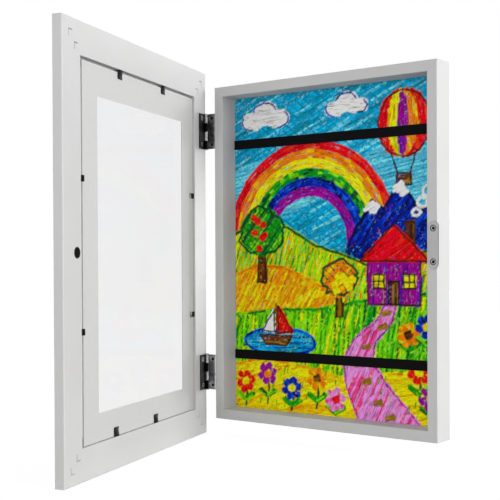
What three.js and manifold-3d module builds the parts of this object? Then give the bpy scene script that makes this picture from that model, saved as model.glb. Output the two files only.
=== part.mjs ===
// A wall-hung art frame that opens like a shallow cabinet, in millimetres.
// +X is to the right, +Y goes back into the wall and +Z is up: the front looks along -Y.
// The origin is the middle of the back panel's rear face. The door stands open.
import * as THREE from "three";
import { mergeVertices } from "three/addons/utils/BufferGeometryUtils.js";
import Module from "manifold-3d";

const wasm = await Module();
wasm.setup();

// The sheet of paper that the frame is made for
const paperWidth = 210;
const paperHeight = 297;

// Cabinet
const paperSlackAcross = 6;
const paperSlackUp = 3;
const openingWidth = paperWidth + paperSlackAcross;
const openingHeight = paperHeight + paperSlackUp;
const wallThickness = 9.5;
const cabinetWidth = openingWidth + 2 * wallThickness;
const cabinetHeight = openingHeight + 2 * wallThickness;
const cabinetDepth = 23;
const edgeRound = 0.6;
const backEdgeRound = 0.3;

// Back panel, artwork and the two elastic straps across it
const panelThickness = 2.7;
const panelClearance = 0.15;
const sheetThickness = 0.3;
const sheetClearance = 0.3;
const restGap = 0.05;
const strapWidth = 9;
const strapThickness = 0.8;
const strapFromOpeningEnd = { upper: 44.9, lower: 52.1 };
const strapSlotDepth = 5;
const strapSlotClearance = 0.15;

// Door
const doorOverhangAcross = 14.5;
const doorOverhangUp = 15.5;
const doorWidth = cabinetWidth + 2 * doorOverhangAcross;
const doorHeight = cabinetHeight + 2 * doorOverhangUp;
const doorThickness = 8.5;
const doorGap = 1.6;
const doorOpenDegrees = 74.3;
const railPastWall = 2;
const railWidth = doorOverhangAcross + wallThickness + railPastWall;
const rabbetDepth = 5.5;
const lipWidth = 6;
const doorEdgeRound = 0.8;
const rabbetEdgeRound = 0.3;
const glazingThickness = 2;
const glazingClearance = 0.5;
const stackDrop = 0.4;
const matThickness = 1.15;
const matGaps = { free: 6, hinge: 0.5, top: 2, bottom: 0.35 };
const matBorders = { free: 23.5, hinge: 24, top: 24.85, bottom: 22.3 };

// Spring tabs that hold the mat and the glazing in the door
const tabThickness = 0.5;
const tabBurial = 5;
const tabReach = 7.5;
const tabRootDepth = 1.1;
const tabPressShare = 0.62;
const tabTipLift = 0.3;
const sideTabWidth = 5;
const endTabWidth = 7.5;
const tabSlotClearance = 0.15;
const topTabs = { fromFreeEdge: 92.5, fromHingeEdge: 91 };
const bottomTabs = { fromFreeEdge: 83, fromHingeEdge: 108.5 };
const freeStileTabs = { fromTop: 118.5, fromBottom: 114 };
const hingeStileTabs = { fromTop: 120.5, fromBottom: 117 };

// Corner nails, each bent to a right angle across a mitre
const cornerNailLeg = 5.5;
const cornerNailThickness = 0.5;
const cornerNailDepth = 5;
const cornerNailSink = 0.05;
const cornerNailClearance = 0.1;
const cornerNailPlaces = { outer: 9, inner: 17.5 };

// Hinges
const hingeFromCabinetEnd = { upper: 41.5, lower: 44.5 };
const hingeLength = 34;
const hingeAxisFromWall = 11;
const hingeAxisBehindFront = 0.7;
const knuckleRadius = 2.2;
const knuckleCount = 4;
const knuckleGap = 0.25;
const knuckleRelief = 0.3;
const leafThickness = 1;
const doorLeafLength = 12.6;
const wallLeafLength = 14;
const leafBendRound = 1;
const leafSeatGap = 0.05;
const pinRadius = 1.2;
const pinClearance = 0.08;
const pinHeadRadius = 1.8;
const pinHeadHeight = 0.7;
const hingeScrewSpacing = 25.2;
const doorScrewFromAxis = 6.9;
const wallScrewFromFront = 8;
const bareHoleRadius = 1.4;
const bareHoleDepth = 0.75;
const bareHoleFromWall = 3.5;

// Strike plate on the right wall and the magnet that meets it
const strikeWidth = 9.2;
const strikeLength = 40;
const strikeThickness = 1;
const strikeOutsideWall = 1.2;
const strikeHeight = 5.4;
const strikeScrewSpacing = 28;
const magnetCupRadius = 4.4;
const magnetCupWall = 0.7;
const magnetCupDepth = 6;
const magnetDiscClearance = 0.05;
const magnetProud = 0.2;
const magnetInsideStrikeCentre = 2;
const magnetBelowStrikeCentre = 5.8;
const magnetBoreClearance = 0.1;

// Screws
const hingeScrew = { headRadius: 2.4, headDepth: 0.95, shankRadius: 1.15, length: 7 };
const strikeScrew = { headRadius: 2.7, headDepth: 0.95, shankRadius: 1.3, length: 11 };
const screwClearance = 0.1;
const screwTipLength = 1.6;
const recessShare = 0.62;
const recessWidthShare = 0.24;
const recessDepthShare = 0.75;

// Sawtooth hangers on the back edges of the walls
const hangerLength = 45;
const hangerWidth = 7.6;
const hangerPlate = 0.8;
const hangerRise = 0.9;
const hangerEndLength = 8;
const hangerStepLength = 2;
const hangerToothCount = 7;
const hangerToothPitch = 3;
const hangerToothDepth = 1.6;
const hangerNail = { headRadius: 1.7, headDepth: 0.6, shankRadius: 0.6, length: 8 };

// Joints between pieces and the fineness of curves
const mitreGap = 0.1;
const cutOverrun = 1;
const weldDistance = 1e-4;
const roundSegments = 3;
const screwSegments = 20;
const barrelSegments = 32;
const discSegments = 40;

// Places that follow from the sizes
const cabinetFrontY = -cabinetDepth;
const panelFrontY = -panelThickness;
const sheetBackY = panelFrontY - restGap;
const sheetFrontY = sheetBackY - sheetThickness;
const strapBackY = sheetFrontY - restGap;
const strapMidY = strapBackY - strapThickness / 2;
const doorInsideY = cabinetFrontY - doorGap;
const hingeAxisX = -cabinetWidth / 2 - hingeAxisFromWall;
const hingeAxisY = cabinetFrontY + hingeAxisBehindFront;
const doorFreeEdgeX = doorWidth / 2;
const doorHingeEdgeX = -doorWidth / 2;
const glazingBackDepth = rabbetDepth - restGap - glazingThickness;
const matBackDepth = glazingBackDepth - restGap - matThickness;
const strikeCentreX = cabinetWidth / 2 + strikeOutsideWall - strikeWidth / 2;
const magnetX = strikeCentreX - magnetInsideStrikeCentre;
const magnetZ = strikeHeight - magnetBelowStrikeCentre;
const strapHeights = heightsBetween(openingHeight, strapFromOpeningEnd);
const hingeHeights = heightsBetween(cabinetHeight, hingeFromCabinetEnd);

// Heights of two pieces, given how far each lies from its own end of something centred on z = 0.
function heightsBetween(height, fromEnd) {
  return { upper: height / 2 - fromEnd.upper, lower: fromEnd.lower - height / 2 };
}

const right = new THREE.Vector3(1, 0, 0);
const left = new THREE.Vector3(-1, 0, 0);
const up = new THREE.Vector3(0, 0, 1);
const down = new THREE.Vector3(0, 0, -1);
const forward = new THREE.Vector3(0, -1, 0);
const backward = new THREE.Vector3(0, 1, 0);

// Materials
function finish(color, roughness, metalness) {
  return new THREE.MeshStandardMaterial({ color, roughness, metalness });
}
const whiteLacquer = finish("#e3e3e3", 0.45, 0);
const whiteBoard = finish("#dcdcdc", 0.7, 0);
const paper = finish("#3fa9c9", 0.85, 0);
const blackElastic = finish("#0e0f12", 0.85, 0);
const darkSteel = finish("#3a3a3c", 0.4, 0.9);
const brightSteel = finish("#9a9a9a", 0.35, 0.9);
const satinSteel = finish("#ababab", 0.5, 0.9);
const blackSteel = finish("#161616", 0.3, 0.8);
const blackPlastic = finish("#141414", 0.5, 0);
const matBoard = finish("#dadada", 0.9, 0);
const acrylic = new THREE.MeshStandardMaterial({
  color: "#f2f5f5",
  roughness: 0.08,
  metalness: 0,
  transparent: true,
  opacity: 0.25,
});

// Turns a closed three.js geometry into a solid that can be cut and joined.
function toSolid(geometry) {
  const bare = new THREE.BufferGeometry();
  bare.setAttribute("position", geometry.getAttribute("position"));
  if (geometry.index) bare.setIndex(geometry.index);
  const merged = mergeVertices(bare, weldDistance);
  return new wasm.Manifold(
    new wasm.Mesh({
      numProp: 3,
      vertProperties: merged.getAttribute("position").array,
      triVerts: new Uint32Array(merged.index.array),
    }),
  );
}

// Turns a solid back into a geometry.
function toGeometry(solid) {
  const mesh = solid.getMesh();
  const geometry = new THREE.BufferGeometry();
  const positions = new Float32Array(mesh.numVert * 3);
  for (let i = 0; i < mesh.numVert; i++) {
    const start = i * mesh.numProp;
    positions.set(mesh.vertProperties.subarray(start, start + 3), i * 3);
  }
  geometry.setAttribute("position", new THREE.BufferAttribute(positions, 3));
  geometry.setIndex(new THREE.BufferAttribute(mesh.triVerts, 1));
  const flat = geometry.toNonIndexed();
  flat.computeVertexNormals();
  return flat;
}

function cut(body, ...cutters) {
  return cutters.reduce((rest, cutter) => rest.subtract(toSolid(cutter)), toSolid(body));
}

function piece(name, shape, material) {
  const geometry = shape.isBufferGeometry ? shape : toGeometry(shape);
  const mesh = new THREE.Mesh(geometry, material);
  mesh.name = name;
  return mesh;
}

function block(width, depth, height, centre) {
  return new THREE.BoxGeometry(width, depth, height).translate(centre.x, centre.y, centre.z);
}

// Moves a shape made round the Y axis, so that its top at the origin faces outward at a point.
function stand(geometry, outward, at) {
  const turn = new THREE.Quaternion().setFromUnitVectors(new THREE.Vector3(0, 1, 0), outward);
  return geometry.applyQuaternion(turn).translate(at.x, at.y, at.z);
}

function turned(profile, segments) {
  const points = profile.map(([radius, height]) => new THREE.Vector2(radius, height));
  return new THREE.LatheGeometry(points, segments);
}

function corner(across, along, round = 0) {
  return { point: new THREE.Vector2(across, along), round };
}

// A closed outline whose corners are rounded where they say so.
function outline(corners) {
  const shape = new THREE.Shape();
  corners.forEach(({ point, round }, i) => {
    const before = corners[(i + corners.length - 1) % corners.length].point;
    const after = corners[(i + 1) % corners.length].point;
    const start = point.clone().add(before.clone().sub(point).setLength(round));
    const end = point.clone().add(after.clone().sub(point).setLength(round));
    if (i === 0) shape.moveTo(start.x, start.y);
    else shape.lineTo(start.x, start.y);
    if (round > 0) shape.quadraticCurveTo(point.x, point.y, end.x, end.y);
  });
  return shape;
}

function extrude(shape, length, segments = roundSegments) {
  return new THREE.ExtrudeGeometry(shape, {
    depth: length,
    bevelEnabled: false,
    curveSegments: segments,
  });
}

// A bar whose outline runs inward across X and forward along Y, with both ends cut to a mitre.
function mitredBar(shape, length) {
  const geometry = extrude(shape, length);
  const position = geometry.getAttribute("position");
  for (let i = 0; i < position.count; i++) {
    const end = Math.sign(position.getZ(i) - length / 2);
    position.setZ(i, end * (length / 2 - mitreGap / 2 - position.getX(i)));
  }
  return geometry;
}

// The four sides of a frame: which way each faces inward, and where its outer face is.
function sidesOf(width, height, y) {
  return {
    top: { inward: down, centre: new THREE.Vector3(0, y, height / 2), length: width },
    bottom: { inward: up, centre: new THREE.Vector3(0, y, -height / 2), length: width },
    left: { inward: right, centre: new THREE.Vector3(-width / 2, y, 0), length: height },
    right: { inward: left, centre: new THREE.Vector3(width / 2, y, 0), length: height },
  };
}

function sideBar(shape, side) {
  const along = new THREE.Vector3().crossVectors(side.inward, forward);
  const basis = new THREE.Matrix4().makeBasis(side.inward, forward, along);
  return mitredBar(shape, side.length).applyMatrix4(basis.setPosition(side.centre));
}

// Screws, with a cross recess in a countersunk head, and the holes that take them
function screw({ headRadius, headDepth, shankRadius, length }, outward, at) {
  const body = turned(
    [
      [0, -length],
      [shankRadius, -length + screwTipLength],
      [shankRadius, -headDepth],
      [headRadius, 0],
      [0, 0],
    ],
    screwSegments,
  );
  const recessLength = 2 * headRadius * recessShare;
  const recessWidth = headRadius * recessWidthShare;
  const recessDepth = 2 * headDepth * recessDepthShare;
  const origin = new THREE.Vector3();
  const crossed = [
    block(recessLength, recessDepth, recessWidth, origin),
    block(recessWidth, recessDepth, recessLength, origin),
  ];
  return stand(toGeometry(cut(body, ...crossed)), outward, at);
}

function countersunkHole({ headRadius, headDepth, shankRadius, length }, outward, at) {
  const hole = turned(
    [
      [0, -length - screwClearance],
      [shankRadius + screwClearance, -length - screwClearance],
      [shankRadius + screwClearance, -headDepth],
      [headRadius + screwClearance, 0],
      [headRadius + screwClearance, cutOverrun],
      [0, cutOverrun],
    ],
    screwSegments,
  );
  return stand(hole, outward, at);
}

function nail({ headRadius, headDepth, shankRadius, length }, outward, at) {
  const body = turned(
    [
      [0, -length],
      [shankRadius, -length + screwTipLength],
      [shankRadius, 0],
      [headRadius, 0],
      [headRadius, headDepth / 2],
      [headRadius / 2, headDepth],
      [0, headDepth],
    ],
    screwSegments,
  );
  return stand(body, outward, at);
}

function nailHole({ shankRadius, length }, outward, at) {
  const hole = turned(
    [
      [0, -length - screwClearance],
      [shankRadius + screwClearance, -length - screwClearance],
      [shankRadius + screwClearance, cutOverrun],
      [0, cutOverrun],
    ],
    screwSegments,
  );
  return stand(hole, outward, at);
}

// Places of the screws, worked out once for the pieces that they go through
function pairAbout(height, spacing) {
  return { high: height + spacing / 2, low: height - spacing / 2 };
}

function wallScrewPlaces(hingeHeight) {
  const x = -cabinetWidth / 2 - leafSeatGap - leafThickness;
  const y = cabinetFrontY + wallScrewFromFront;
  const { high, low } = pairAbout(hingeHeight, hingeScrewSpacing);
  return { high: new THREE.Vector3(x, y, high), low: new THREE.Vector3(x, y, low) };
}

function doorScrewPlaces(hingeHeight) {
  const x = hingeAxisX + doorScrewFromAxis;
  const y = hingeAxisY - knuckleRadius + leafThickness;
  const { high, low } = pairAbout(hingeHeight, hingeScrewSpacing);
  return { high: new THREE.Vector3(x, y, high), low: new THREE.Vector3(x, y, low) };
}

function strikeScrewPlaces() {
  const y = cabinetFrontY - leafSeatGap - strikeThickness;
  const { high, low } = pairAbout(strikeHeight, strikeScrewSpacing);
  return {
    high: new THREE.Vector3(strikeCentreX, y, high),
    low: new THREE.Vector3(strikeCentreX, y, low),
  };
}

function hangerNailPlaces(centre, alongHanger) {
  const reach = hangerLength / 2 - hangerEndLength / 2;
  const y = restGap + hangerPlate;
  return {
    a: centre.clone().addScaledVector(alongHanger, -reach).setY(y),
    b: centre.clone().addScaledVector(alongHanger, reach).setY(y),
  };
}

const hangerPlaces = {
  top: { centre: new THREE.Vector3(0, 0, (openingHeight + wallThickness) / 2), along: right },
  right: { centre: new THREE.Vector3((openingWidth + wallThickness) / 2, 0, 0), along: up },
};

// Cabinet walls
function wallOutline() {
  return outline([
    corner(0, 0, backEdgeRound),
    corner(wallThickness, 0, backEdgeRound),
    corner(wallThickness, cabinetDepth, edgeRound),
    corner(0, cabinetDepth, edgeRound),
  ]);
}

function strapSlot(side, height) {
  const length = strapSlotDepth + strapSlotClearance + cutOverrun;
  const x = side * (openingWidth / 2 - cutOverrun + length / 2);
  return block(
    length,
    strapThickness + 2 * strapSlotClearance,
    strapWidth + 2 * strapSlotClearance,
    new THREE.Vector3(x, strapMidY, height),
  );
}

function cabinetWalls() {
  const sides = sidesOf(cabinetWidth, cabinetHeight, 0);
  const straps = Object.values(strapHeights);
  const cutters = { top: [], bottom: [], left: [], right: [] };
  for (const height of straps) {
    cutters.left.push(strapSlot(-1, height));
    cutters.right.push(strapSlot(1, height));
  }
  for (const height of Object.values(hingeHeights))
    for (const place of Object.values(wallScrewPlaces(height)))
      cutters.left.push(countersunkHole(hingeScrew, left, place));
  for (const place of Object.values(strikeScrewPlaces()))
    cutters.right.push(countersunkHole(strikeScrew, forward, place));
  for (const [side, { centre, along }] of Object.entries(hangerPlaces))
    for (const place of Object.values(hangerNailPlaces(centre, along)))
      cutters[side].push(nailHole(hangerNail, backward, place));
  return Object.entries(sides).map(([name, side]) =>
    piece(
      "cabinet_wall_" + name,
      cut(sideBar(wallOutline(), side), ...cutters[name]),
      whiteLacquer,
    ),
  );
}

function backPanel() {
  const width = openingWidth - 2 * panelClearance;
  const height = openingHeight - 2 * panelClearance;
  const centre = new THREE.Vector3(0, -panelThickness / 2, 0);
  return piece("back_panel", block(width, panelThickness, height, centre), whiteBoard);
}

function artworkSheet() {
  const width = openingWidth - 2 * sheetClearance;
  const height = openingHeight - 2 * sheetClearance;
  const centre = new THREE.Vector3(0, sheetBackY - sheetThickness / 2, 0);
  return piece("artwork_sheet", block(width, sheetThickness, height, centre), paper);
}

function straps() {
  const length = openingWidth + 2 * strapSlotDepth;
  return Object.entries(strapHeights).map(([name, height]) => {
    const centre = new THREE.Vector3(0, strapMidY, height);
    const shape = block(length, strapThickness, strapWidth, centre);
    return piece("strap_" + name, shape, blackElastic);
  });
}

// Strike plate
function strikePlate() {
  const halfWidth = strikeWidth / 2;
  const halfStraight = strikeLength / 2 - halfWidth;
  const shape = new THREE.Shape();
  shape.absarc(0, halfStraight, halfWidth, 0, Math.PI);
  shape.absarc(0, -halfStraight, halfWidth, Math.PI, 2 * Math.PI);
  const plate = extrude(shape, strikeThickness, screwSegments);
  const basis = new THREE.Matrix4().makeBasis(right, up, forward);
  const back = new THREE.Vector3(strikeCentreX, cabinetFrontY - leafSeatGap, strikeHeight);
  plate.applyMatrix4(basis.setPosition(back));
  const places = Object.values(strikeScrewPlaces());
  const holes = places.map((place) => countersunkHole(strikeScrew, forward, place));
  return piece("strike_plate", cut(plate, ...holes), satinSteel);
}

function strikeScrews() {
  return Object.entries(strikeScrewPlaces()).map(([name, place]) =>
    piece("strike_screw_" + name, screw(strikeScrew, forward, place), brightSteel),
  );
}

// Hinges: knuckles alternate between the door's leaf and the wall's leaf, from the top
function knuckleSpans(hingeHeight) {
  const pitch = hingeLength / knuckleCount;
  const top = hingeHeight + hingeLength / 2;
  return Array.from({ length: knuckleCount }, (_, i) => ({
    onDoor: i % 2 === 0,
    centre: top - (i + 1 / 2) * pitch,
    length: pitch,
  }));
}

function barrelPart(radius, length, centre) {
  const part = new THREE.CylinderGeometry(radius, radius, length, barrelSegments);
  part.rotateX(Math.PI / 2);
  return part.translate(hingeAxisX, hingeAxisY, centre);
}

function withKnuckles(plate, hingeHeight, onDoor) {
  const spans = knuckleSpans(hingeHeight);
  let leaf = toSolid(plate);
  for (const span of spans.filter((one) => one.onDoor !== onDoor)) {
    const relief = span.length + knuckleGap;
    leaf = leaf.subtract(toSolid(barrelPart(knuckleRadius + knuckleRelief, relief, span.centre)));
  }
  for (const span of spans.filter((one) => one.onDoor === onDoor))
    leaf = leaf.add(toSolid(barrelPart(knuckleRadius, span.length - knuckleGap, span.centre)));
  const bore = barrelPart(pinRadius + pinClearance, hingeLength + cutOverrun, hingeHeight);
  return leaf.subtract(toSolid(bore));
}

function doorLeaf(name, hingeHeight) {
  const centre = new THREE.Vector3(
    hingeAxisX + doorLeafLength / 2,
    hingeAxisY - knuckleRadius + leafThickness / 2,
    hingeHeight,
  );
  const plate = block(doorLeafLength, leafThickness, hingeLength - knuckleGap, centre);
  let leaf = withKnuckles(plate, hingeHeight, true);
  for (const place of Object.values(doorScrewPlaces(hingeHeight)))
    leaf = leaf.subtract(toSolid(countersunkHole(hingeScrew, backward, place)));
  return piece("hinge_" + name + "_door_leaf", leaf, darkSteel);
}

// The wall's leaf runs from the barrel to the cabinet, then bends back along its side. It is
// folded from thinner sheet, so the bare holes in its front layer don't go through.
function wallLeaf(name, hingeHeight) {
  const outside = -cabinetWidth / 2 - leafSeatGap;
  const shape = outline([
    corner(hingeAxisX, cabinetFrontY),
    corner(outside, cabinetFrontY, leafBendRound),
    corner(outside, cabinetFrontY + wallLeafLength),
    corner(outside - leafThickness, cabinetFrontY + wallLeafLength),
    corner(outside - leafThickness, cabinetFrontY + leafThickness),
    corner(hingeAxisX, cabinetFrontY + leafThickness),
  ]);
  const length = hingeLength - knuckleGap;
  const plate = extrude(shape, length).translate(0, 0, hingeHeight - length / 2);
  let leaf = withKnuckles(plate, hingeHeight, false);
  for (const place of Object.values(wallScrewPlaces(hingeHeight)))
    leaf = leaf.subtract(toSolid(countersunkHole(hingeScrew, left, place)));
  const bareX = -cabinetWidth / 2 - bareHoleFromWall;
  for (const height of Object.values(pairAbout(hingeHeight, hingeScrewSpacing))) {
    const hole = new THREE.CylinderGeometry(
      bareHoleRadius,
      bareHoleRadius,
      bareHoleDepth + cutOverrun,
      screwSegments,
    );
    hole.translate(bareX, cabinetFrontY + (bareHoleDepth - cutOverrun) / 2, height);
    leaf = leaf.subtract(toSolid(hole));
  }
  return piece("hinge_" + name + "_wall_leaf", leaf, darkSteel);
}

function hingePin(name, hingeHeight) {
  const end = hingeLength / 2 + restGap;
  const headMid = end + pinHeadHeight / 2;
  const headTop = end + pinHeadHeight;
  const profile = turned(
    [
      [0, -headTop],
      [pinHeadRadius / 2, -headTop],
      [pinHeadRadius, -headMid],
      [pinHeadRadius, -end],
      [pinRadius, -end],
      [pinRadius, end],
      [pinHeadRadius, end],
      [pinHeadRadius, headMid],
      [pinHeadRadius / 2, headTop],
      [0, headTop],
    ],
    screwSegments,
  );
  const pin = stand(profile, up, new THREE.Vector3(hingeAxisX, hingeAxisY, hingeHeight));
  return piece("hinge_" + name + "_pin", pin, darkSteel);
}

function hingesOnCabinet() {
  return Object.entries(hingeHeights).flatMap(([name, height]) => [
    wallLeaf(name, height),
    hingePin(name, height),
    ...Object.entries(wallScrewPlaces(height)).map(([end, place]) =>
      piece("hinge_" + name + "_wall_screw_" + end, screw(hingeScrew, left, place), brightSteel),
    ),
  ]);
}

function hingesOnDoor() {
  return Object.entries(hingeHeights).flatMap(([name, height]) => [
    doorLeaf(name, height),
    ...Object.entries(doorScrewPlaces(height)).map(([end, place]) =>
      piece(
        "hinge_" + name + "_door_screw_" + end,
        screw(hingeScrew, backward, place),
        brightSteel,
      ),
    ),
  ]);
}

// Hangers: a strip stepped away from the wall in the middle, with teeth along its lower edge
function hanger(name, centre, alongHanger) {
  const half = hangerLength / 2;
  const stepOut = half - hangerEndLength;
  const stepIn = stepOut - hangerStepLength;
  const strip = outline([
    corner(-half, 0),
    corner(-stepOut, 0),
    corner(-stepIn, hangerRise),
    corner(stepIn, hangerRise),
    corner(stepOut, 0),
    corner(half, 0),
    corner(half, hangerPlate),
    corner(stepOut, hangerPlate),
    corner(stepIn, hangerRise + hangerPlate),
    corner(-stepIn, hangerRise + hangerPlate),
    corner(-stepOut, hangerPlate),
    corner(-half, hangerPlate),
  ]);
  const plate = extrude(strip, hangerWidth).translate(0, 0, -hangerWidth / 2);
  const teeth = Array.from({ length: hangerToothCount }, (_, i) => {
    const x = (i - (hangerToothCount - 1) / 2) * hangerToothPitch;
    const notch = outline([
      corner(x - hangerToothPitch / 2, -hangerWidth / 2 - cutOverrun),
      corner(x + hangerToothPitch / 2, -hangerWidth / 2 - cutOverrun),
      corner(x, -hangerWidth / 2 + hangerToothDepth),
    ]);
    const depth = hangerRise + hangerPlate + 2 * cutOverrun;
    return extrude(notch, depth)
      .rotateX(Math.PI / 2)
      .translate(0, depth - cutOverrun, 0);
  });
  const across = new THREE.Vector3().crossVectors(alongHanger, backward);
  const basis = new THREE.Matrix4().makeBasis(alongHanger, backward, across);
  const place = new THREE.Vector3(centre.x, restGap, centre.z);
  const shape = toGeometry(cut(plate, ...teeth)).applyMatrix4(basis.setPosition(place));
  const holes = Object.values(hangerNailPlaces(centre, alongHanger)).map((at) =>
    nailHole(hangerNail, backward, at),
  );
  return piece("hanger_" + name, cut(shape, ...holes), satinSteel);
}

function hangers() {
  return Object.entries(hangerPlaces).flatMap(([name, { centre, along }]) => [
    hanger(name, centre, along),
    ...Object.entries(hangerNailPlaces(centre, along)).map(([end, place]) =>
      piece("hanger_" + name + "_nail_" + end, nail(hangerNail, backward, place), satinSteel),
    ),
  ]);
}

// Door frame, with a rabbet behind a narrow lip
function railOutline() {
  return outline([
    corner(0, 0, doorEdgeRound),
    corner(railWidth, 0, rabbetEdgeRound),
    corner(railWidth, rabbetDepth),
    corner(railWidth + lipWidth, rabbetDepth),
    corner(railWidth + lipWidth, doorThickness, doorEdgeRound),
    corner(0, doorThickness, doorEdgeRound),
  ]);
}

// Each tab lies on a side of the door: how far along that side, from its middle, and how wide.
function tabPlaces() {
  const places = [];
  const addPair = (side, alongA, alongB, width) => {
    places.push({ side, name: side + "_a", along: alongA, width });
    places.push({ side, name: side + "_b", along: alongB, width });
  };
  const addAcross = (side, { fromFreeEdge, fromHingeEdge }) =>
    addPair(side, doorFreeEdgeX - fromFreeEdge, doorHingeEdgeX + fromHingeEdge, endTabWidth);
  const addUp = (side, { fromTop, fromBottom }) =>
    addPair(side, doorHeight / 2 - fromTop, fromBottom - doorHeight / 2, sideTabWidth);
  addAcross("top", topTabs);
  addAcross("bottom", bottomTabs);
  addUp("right", freeStileTabs);
  addUp("left", hingeStileTabs);
  return places;
}

// The strip of a tab, seen from its side: it leaves the rabbet's wall, dips on to the mat and lifts.
function tabStrip(thickness, clearance) {
  const pressDepth = matBackDepth - restGap - tabThickness;
  const start = -tabBurial - clearance;
  const press = tabReach * tabPressShare;
  const line = [
    [start, tabRootDepth - clearance],
    [0, tabRootDepth - clearance],
    [press, pressDepth - clearance],
    [tabReach, pressDepth - tabTipLift - clearance],
  ];
  const near = line.map(([reach, depth]) => corner(railWidth + reach, depth));
  const far = line.map(([reach, depth]) => corner(railWidth + reach, depth + thickness));
  return outline([...near, ...far.reverse()]);
}

function tabShape(sides, { side, along, width }, thickness, clearance) {
  const { inward, centre } = sides[side];
  const full = width + 2 * clearance;
  const across = new THREE.Vector3().crossVectors(inward, forward);
  const basis = new THREE.Matrix4().makeBasis(inward, forward, across);
  const shift = new THREE.Vector3(Math.abs(across.x), 0, Math.abs(across.z)).multiplyScalar(along);
  const strip = extrude(tabStrip(thickness, clearance), full).translate(0, 0, -full / 2);
  return strip.applyMatrix4(basis.setPosition(centre.clone().add(shift)));
}

// A corner nail has its bend on the mitre and one leg in each of the two rails.
function cornerNailShape(cornerX, cornerZ, place, clearance) {
  const low = place - clearance;
  const inner = place + cornerNailThickness + clearance;
  const reach = place + cornerNailLeg + clearance;
  const shape = outline([
    corner(low, low),
    corner(reach, low),
    corner(reach, inner),
    corner(inner, inner),
    corner(inner, reach),
    corner(low, reach),
  ]);
  const nailBody = extrude(shape, cornerNailDepth + clearance);
  const inwardX = new THREE.Vector3(-cornerX, 0, 0);
  const inwardZ = new THREE.Vector3(0, 0, -cornerZ);
  const basis = new THREE.Matrix4().makeBasis(inwardX, inwardZ, forward);
  const edge = new THREE.Vector3(
    (cornerX * doorWidth) / 2,
    doorInsideY - cornerNailSink,
    (cornerZ * doorHeight) / 2,
  );
  nailBody.applyMatrix4(basis.setPosition(edge));
  return basis.determinant() < 0 ? flipped(nailBody) : nailBody;
}

// Turns every face of a mirrored geometry round, so that it faces outward again.
function flipped(geometry) {
  const loose = geometry.index ? geometry.toNonIndexed() : geometry;
  const position = loose.getAttribute("position");
  const first = new THREE.Vector3();
  const last = new THREE.Vector3();
  for (let i = 0; i < position.count; i += 3) {
    first.fromBufferAttribute(position, i);
    last.fromBufferAttribute(position, i + 2);
    position.setXYZ(i, last.x, last.y, last.z);
    position.setXYZ(i + 2, first.x, first.y, first.z);
  }
  return loose;
}

function cornerNailPlacesList() {
  const corners = {
    top_free: [1, 1],
    top_hinge: [-1, 1],
    bottom_free: [1, -1],
    bottom_hinge: [-1, -1],
  };
  return Object.entries(corners).flatMap(([name, [x, z]]) =>
    Object.entries(cornerNailPlaces).map(([which, place]) => ({
      name: name + "_" + which,
      x,
      z,
      place,
    })),
  );
}

function magnetBore() {
  const radius = magnetCupRadius + magnetBoreClearance;
  const depth = magnetCupDepth - magnetProud + magnetBoreClearance;
  const bore = new THREE.CylinderGeometry(radius, radius, depth + cutOverrun, discSegments);
  const y = doorInsideY - depth / 2 + cutOverrun / 2;
  return bore.translate(magnetX, y, magnetZ);
}

function doorRails() {
  const sides = sidesOf(doorWidth, doorHeight, doorInsideY);
  const names = {
    top: "door_rail_top",
    bottom: "door_rail_bottom",
    left: "door_stile_hinge",
    right: "door_stile_free",
  };
  const cutters = { top: [], bottom: [], left: [], right: [] };
  for (const tab of tabPlaces()) {
    const slotThickness = tabThickness + 2 * tabSlotClearance;
    cutters[tab.side].push(tabShape(sides, tab, slotThickness, tabSlotClearance));
  }
  for (const { x, z, place } of cornerNailPlacesList()) {
    cutters[z > 0 ? "top" : "bottom"].push(cornerPocket(x, z, place));
    cutters[x > 0 ? "right" : "left"].push(cornerPocket(x, z, place));
  }
  for (const height of Object.values(hingeHeights))
    for (const place of Object.values(doorScrewPlaces(height)))
      cutters.left.push(countersunkHole(hingeScrew, backward, place));
  cutters.right.push(magnetBore());
  return Object.entries(sides).map(([name, side]) =>
    piece(names[name], cut(sideBar(railOutline(), side), ...cutters[name]), whiteLacquer),
  );
}

// The pocket of a corner nail, open at the door's inside face.
function cornerPocket(x, z, place) {
  const pocket = cornerNailShape(x, z, place, cornerNailClearance);
  const mouth = cornerNailShape(x, z, place, cornerNailClearance).translate(0, cornerNailDepth, 0);
  return toGeometry(toSolid(pocket).add(toSolid(mouth)));
}

function tabs() {
  const sides = sidesOf(doorWidth, doorHeight, doorInsideY);
  return tabPlaces().map((tab) =>
    piece("tab_" + tab.name, tabShape(sides, tab, tabThickness, 0), blackSteel),
  );
}

function cornerNails() {
  return cornerNailPlacesList().map(({ name, x, z, place }) =>
    piece("corner_nail_" + name, cornerNailShape(x, z, place, 0), brightSteel),
  );
}

// The glazing rests on the bottom rail, so it lies a little below the middle.
function glazing() {
  const width = doorWidth - 2 * railWidth - 2 * glazingClearance;
  const height = doorHeight - 2 * railWidth - 2 * glazingClearance;
  const y = doorInsideY - glazingBackDepth - glazingThickness / 2;
  const shape = block(width, glazingThickness, height, new THREE.Vector3(0, y, -stackDrop));
  return piece("glazing", shape, acrylic);
}

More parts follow.
